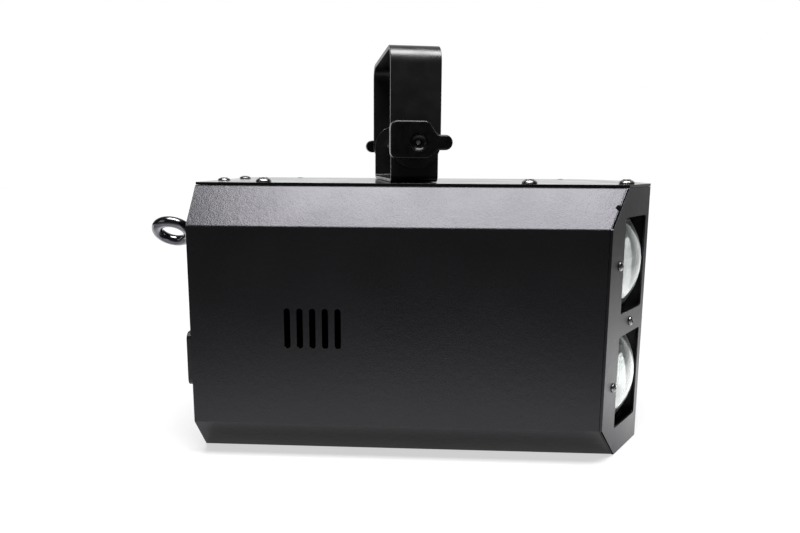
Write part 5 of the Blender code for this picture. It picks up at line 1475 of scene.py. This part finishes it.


# Studio

# What a mirroring surface sees: the surroundings by their direction along Y, and a painted reflection glow on
# the floor that only glossy rays see, by its depth, from a metre nearer the camera to the light itself, and by
# its X. The floor's colour, painted darker away from the light as painted shade, and the white glow that the
# camera sees go by the distance away.
MIRRORED_WORLD = ((0.42, 0.04), (0.88, 1.0))
PAINTED_REFLECTION_BY_DEPTH = ((0.0, 0.02), (0.40, 0.03), (0.62, 0.05), (0.83, 0.42), (0.90, 0.04), (1.0, 1.0))
PAINTED_REFLECTION_FALL = ((0.35, 1.4), (0.95, 0.30))
PAINTED_SHADE_REACH = ((0.22, 1.0), (0.48, 0.15))
GLOW_REACH = ((0.20, 0.60), (0.55, 1.0))
ROOM_LEVEL = 0.12
FLOOR_HALF_WIDTH = 4.0
FLOOR_BELOW = 0.0004
CAMERA_LENS = 29.33
CAMERA_PLACE = (0.0037, -0.5539, 0.2199)
CAMERA_HEADING = math.radians(2.83)
CAMERA_TILT = math.radians(80.88)
CAMERA_ROLL = math.radians(0.31)
WHITE = (1, 1, 1)
BLACK = (0, 0, 0)


def studio_world():
    """White where the camera, metal and glass look past the light, and a dark room behind the camera."""
    world = bpy.data.worlds.new("studio")
    nodes = Nodes(world)
    direction = nodes.add("TexCoord", "Generated", {})
    mirrored = nodes.span(nodes.add("SeparateXYZ", "Y", {"Vector": direction}), *MIRRORED_WORLD)
    glossy = nodes.add("LightPath", "Is Glossy Ray", {})
    dim = nodes.add("Mix", "Result", {"Factor": glossy, "A": ROOM_LEVEL, "B": mirrored})
    level = nodes.add("Mix", "Result", {"Factor": seen_ray(nodes), "A": dim, "B": 1.0})
    nodes.fill(nodes.tree.nodes["Background"], {"Color": (*WHITE, 1), "Strength": level})
    bpy.context.scene.world = world


def seen_ray(nodes):
    """1 where the camera looks, straight or through glass, and 0 elsewhere."""
    straight, through = (nodes.add("LightPath", f"Is {kind} Ray", {}) for kind in ("Camera", "Transmission"))
    return nodes.join("MAXIMUM", straight, through)


def floor_material():
    """A floor that the camera sees as white, with the light's own shadow kept on it; its colour is painted
    darker away from the light as painted shade, and glossy rays alone see a painted reflection glow on it.
    """
    made = bpy.data.materials.new("studio_floor")
    nodes = Nodes(made)
    place = nodes.add("TexCoord", "Object", {})
    away = nodes.add("VectorMath", "Value", {0: place}, operation="LENGTH")
    # Painted shade: the floor's colour darkens away from the light
    floor_tone_with_painted_shade = {"Factor": nodes.span(away, *PAINTED_SHADE_REACH), "A": (*BLACK, 1), "B": (*colours().floor, 1)}
    floor_tone_with_painted_shade = nodes.add("Mix", "Result", floor_tone_with_painted_shade, data_type="RGBA")
    # Painted reflection: a glow that only glossy rays see, in bands by depth and falling off towards +X
    depth, right = (nodes.add("SeparateXYZ", axis, {0: place}) for axis in ("Y", "X"))
    by_depth = nodes.add("ValToRGB", "Color", {"Fac": nodes.span(depth, (-1.0, 0.0), (0.0, 1.0))})
    elements = by_depth.node.color_ramp.elements
    for position, _ in PAINTED_REFLECTION_BY_DEPTH[1:-1]:
        elements.new(position)
    for element, (position, level) in zip(elements, PAINTED_REFLECTION_BY_DEPTH):
        element.color = (level, level, level, 1)
    mirrored = nodes.join("MULTIPLY", by_depth, nodes.span(right, *PAINTED_REFLECTION_FALL))
    mirrored = nodes.join("MULTIPLY", nodes.add("LightPath", "Is Glossy Ray", {}), mirrored)
    seen = nodes.join("MULTIPLY", seen_ray(nodes), nodes.span(away, *GLOW_REACH))
    glow = {"Emission Color": (*WHITE, 1), "Emission Strength": nodes.join("MAXIMUM", seen, mirrored)}
    surface = {"Base Color": floor_tone_with_painted_shade, "Roughness": 0.7, "Specular IOR Level": 0.2}
    nodes.fill(nodes.tree.nodes["Principled BSDF"], {**surface, **glow})
    return made


def lamp(name, energy, width, depth, place, target, colour=WHITE):
    """A soft rectangular lamp that faces a point."""
    light = bpy.data.lights.new(name, "AREA")
    light.shape = "RECTANGLE"
    light.size = width
    light.size_y = depth
    light.energy = energy
    light.color = colour
    item = linked(name, light)
    item.location = place
    item.rotation_euler = (Vector(target) - Vector(place)).to_track_quat("-Z", "Y").to_euler()
    item.visible_camera = False


class PARTYLIGHT_OT_studio(bpy.types.Operator):
    """Sets up the floor, the soft lamps, the white surroundings and the photograph's camera"""

    bl_idname = "party_light.studio"
    bl_label = "Studio"

    def execute(self, context):
        studio_world()
        made = bmesh.new()
        bmesh.ops.create_grid(made, x_segments=8, y_segments=8, size=FLOOR_HALF_WIDTH)
        bmesh.ops.translate(made, verts=made.verts, vec=(0, 0, -FLOOR_BELOW))
        floor = linked("studio_floor", new_mesh("studio_floor", made))
        floor.data.materials.append(floor_material())
        lamp("top_softbox", 30.0, 1.10, 0.50, (0.05, -0.32, 1.22), (0.05, -0.20, 0.1), (1.0, 0.985, 1.0))
        lamp("left_fill", 0.5, 0.5, 0.5, (-0.95, -0.75, 0.45), (-0.05, 0, 0.12))
        lens = bpy.data.cameras.new("photo_camera")
        lens.lens = CAMERA_LENS
        lens.sensor_width = 36.0
        lens.sensor_fit = "HORIZONTAL"
        lens.clip_start = 0.01
        camera = linked("photo_camera", lens)
        turn = Matrix.Rotation(CAMERA_HEADING, 4, "Z") @ Matrix.Rotation(CAMERA_TILT, 4, "X")
        camera.matrix_world = Matrix.Translation(CAMERA_PLACE) @ turn @ Matrix.Rotation(CAMERA_ROLL, 4, "Z")
        context.scene.camera = camera
        context.scene.view_settings.view_transform = "Standard"
        return {"FINISHED"}


# Add-on

OPERATORS = (
    PARTYLIGHT_OT_studio,
    PARTYLIGHT_OT_case,
    PARTYLIGHT_OT_lenses,
    PARTYLIGHT_OT_light_source,
    PARTYLIGHT_OT_hanging_bracket,
    PARTYLIGHT_OT_clamp_knobs,
    PARTYLIGHT_OT_safety_eye,
    PARTYLIGHT_OT_fan,
    PARTYLIGHT_OT_connectors,
    PARTYLIGHT_OT_control_panel,
    PARTYLIGHT_OT_supply,
)


class PARTYLIGHT_PT_panel(bpy.types.Panel):
    """Lists the pieces of the light and their settings"""

    bl_idname = "PARTYLIGHT_PT_panel"
    bl_label = "Party effect light"
    bl_space_type = "VIEW_3D"
    bl_region_type = "UI"
    bl_category = "Party light"

    def draw(self, context):
        layout = self.layout
        for group in (context.scene.party_light_sizes, context.scene.party_light_colours):
            column = layout.column()
            for name in group.__annotations__:
                column.prop(group, name)
        for operator in OPERATORS:
            layout.operator(operator.bl_idname)


CLASSES = (PartyLightSizes, PartyLightColours, *OPERATORS, PARTYLIGHT_PT_panel)


def register():
    for made in CLASSES:
        bpy.utils.register_class(made)
    bpy.types.Scene.party_light_sizes = PointerProperty(type=PartyLightSizes)
    bpy.types.Scene.party_light_colours = PointerProperty(type=PartyLightColours)


def unregister():
    del bpy.types.Scene.party_light_colours
    del bpy.types.Scene.party_light_sizes
    for made in reversed(CLASSES):
        bpy.utils.unregister_class(made)


def main():
    register()
    bpy.ops.party_light.studio()
    bpy.ops.party_light.case()
    bpy.ops.party_light.lenses()
    bpy.ops.party_light.light_source()
    bpy.ops.party_light.hanging_bracket()
    bpy.ops.party_light.clamp_knobs()
    bpy.ops.party_light.safety_eye()
    bpy.ops.party_light.fan()
    bpy.ops.party_light.connectors()
    bpy.ops.party_light.control_panel()
    bpy.ops.party_light.supply()


if __name__ == "__main__":
    main()
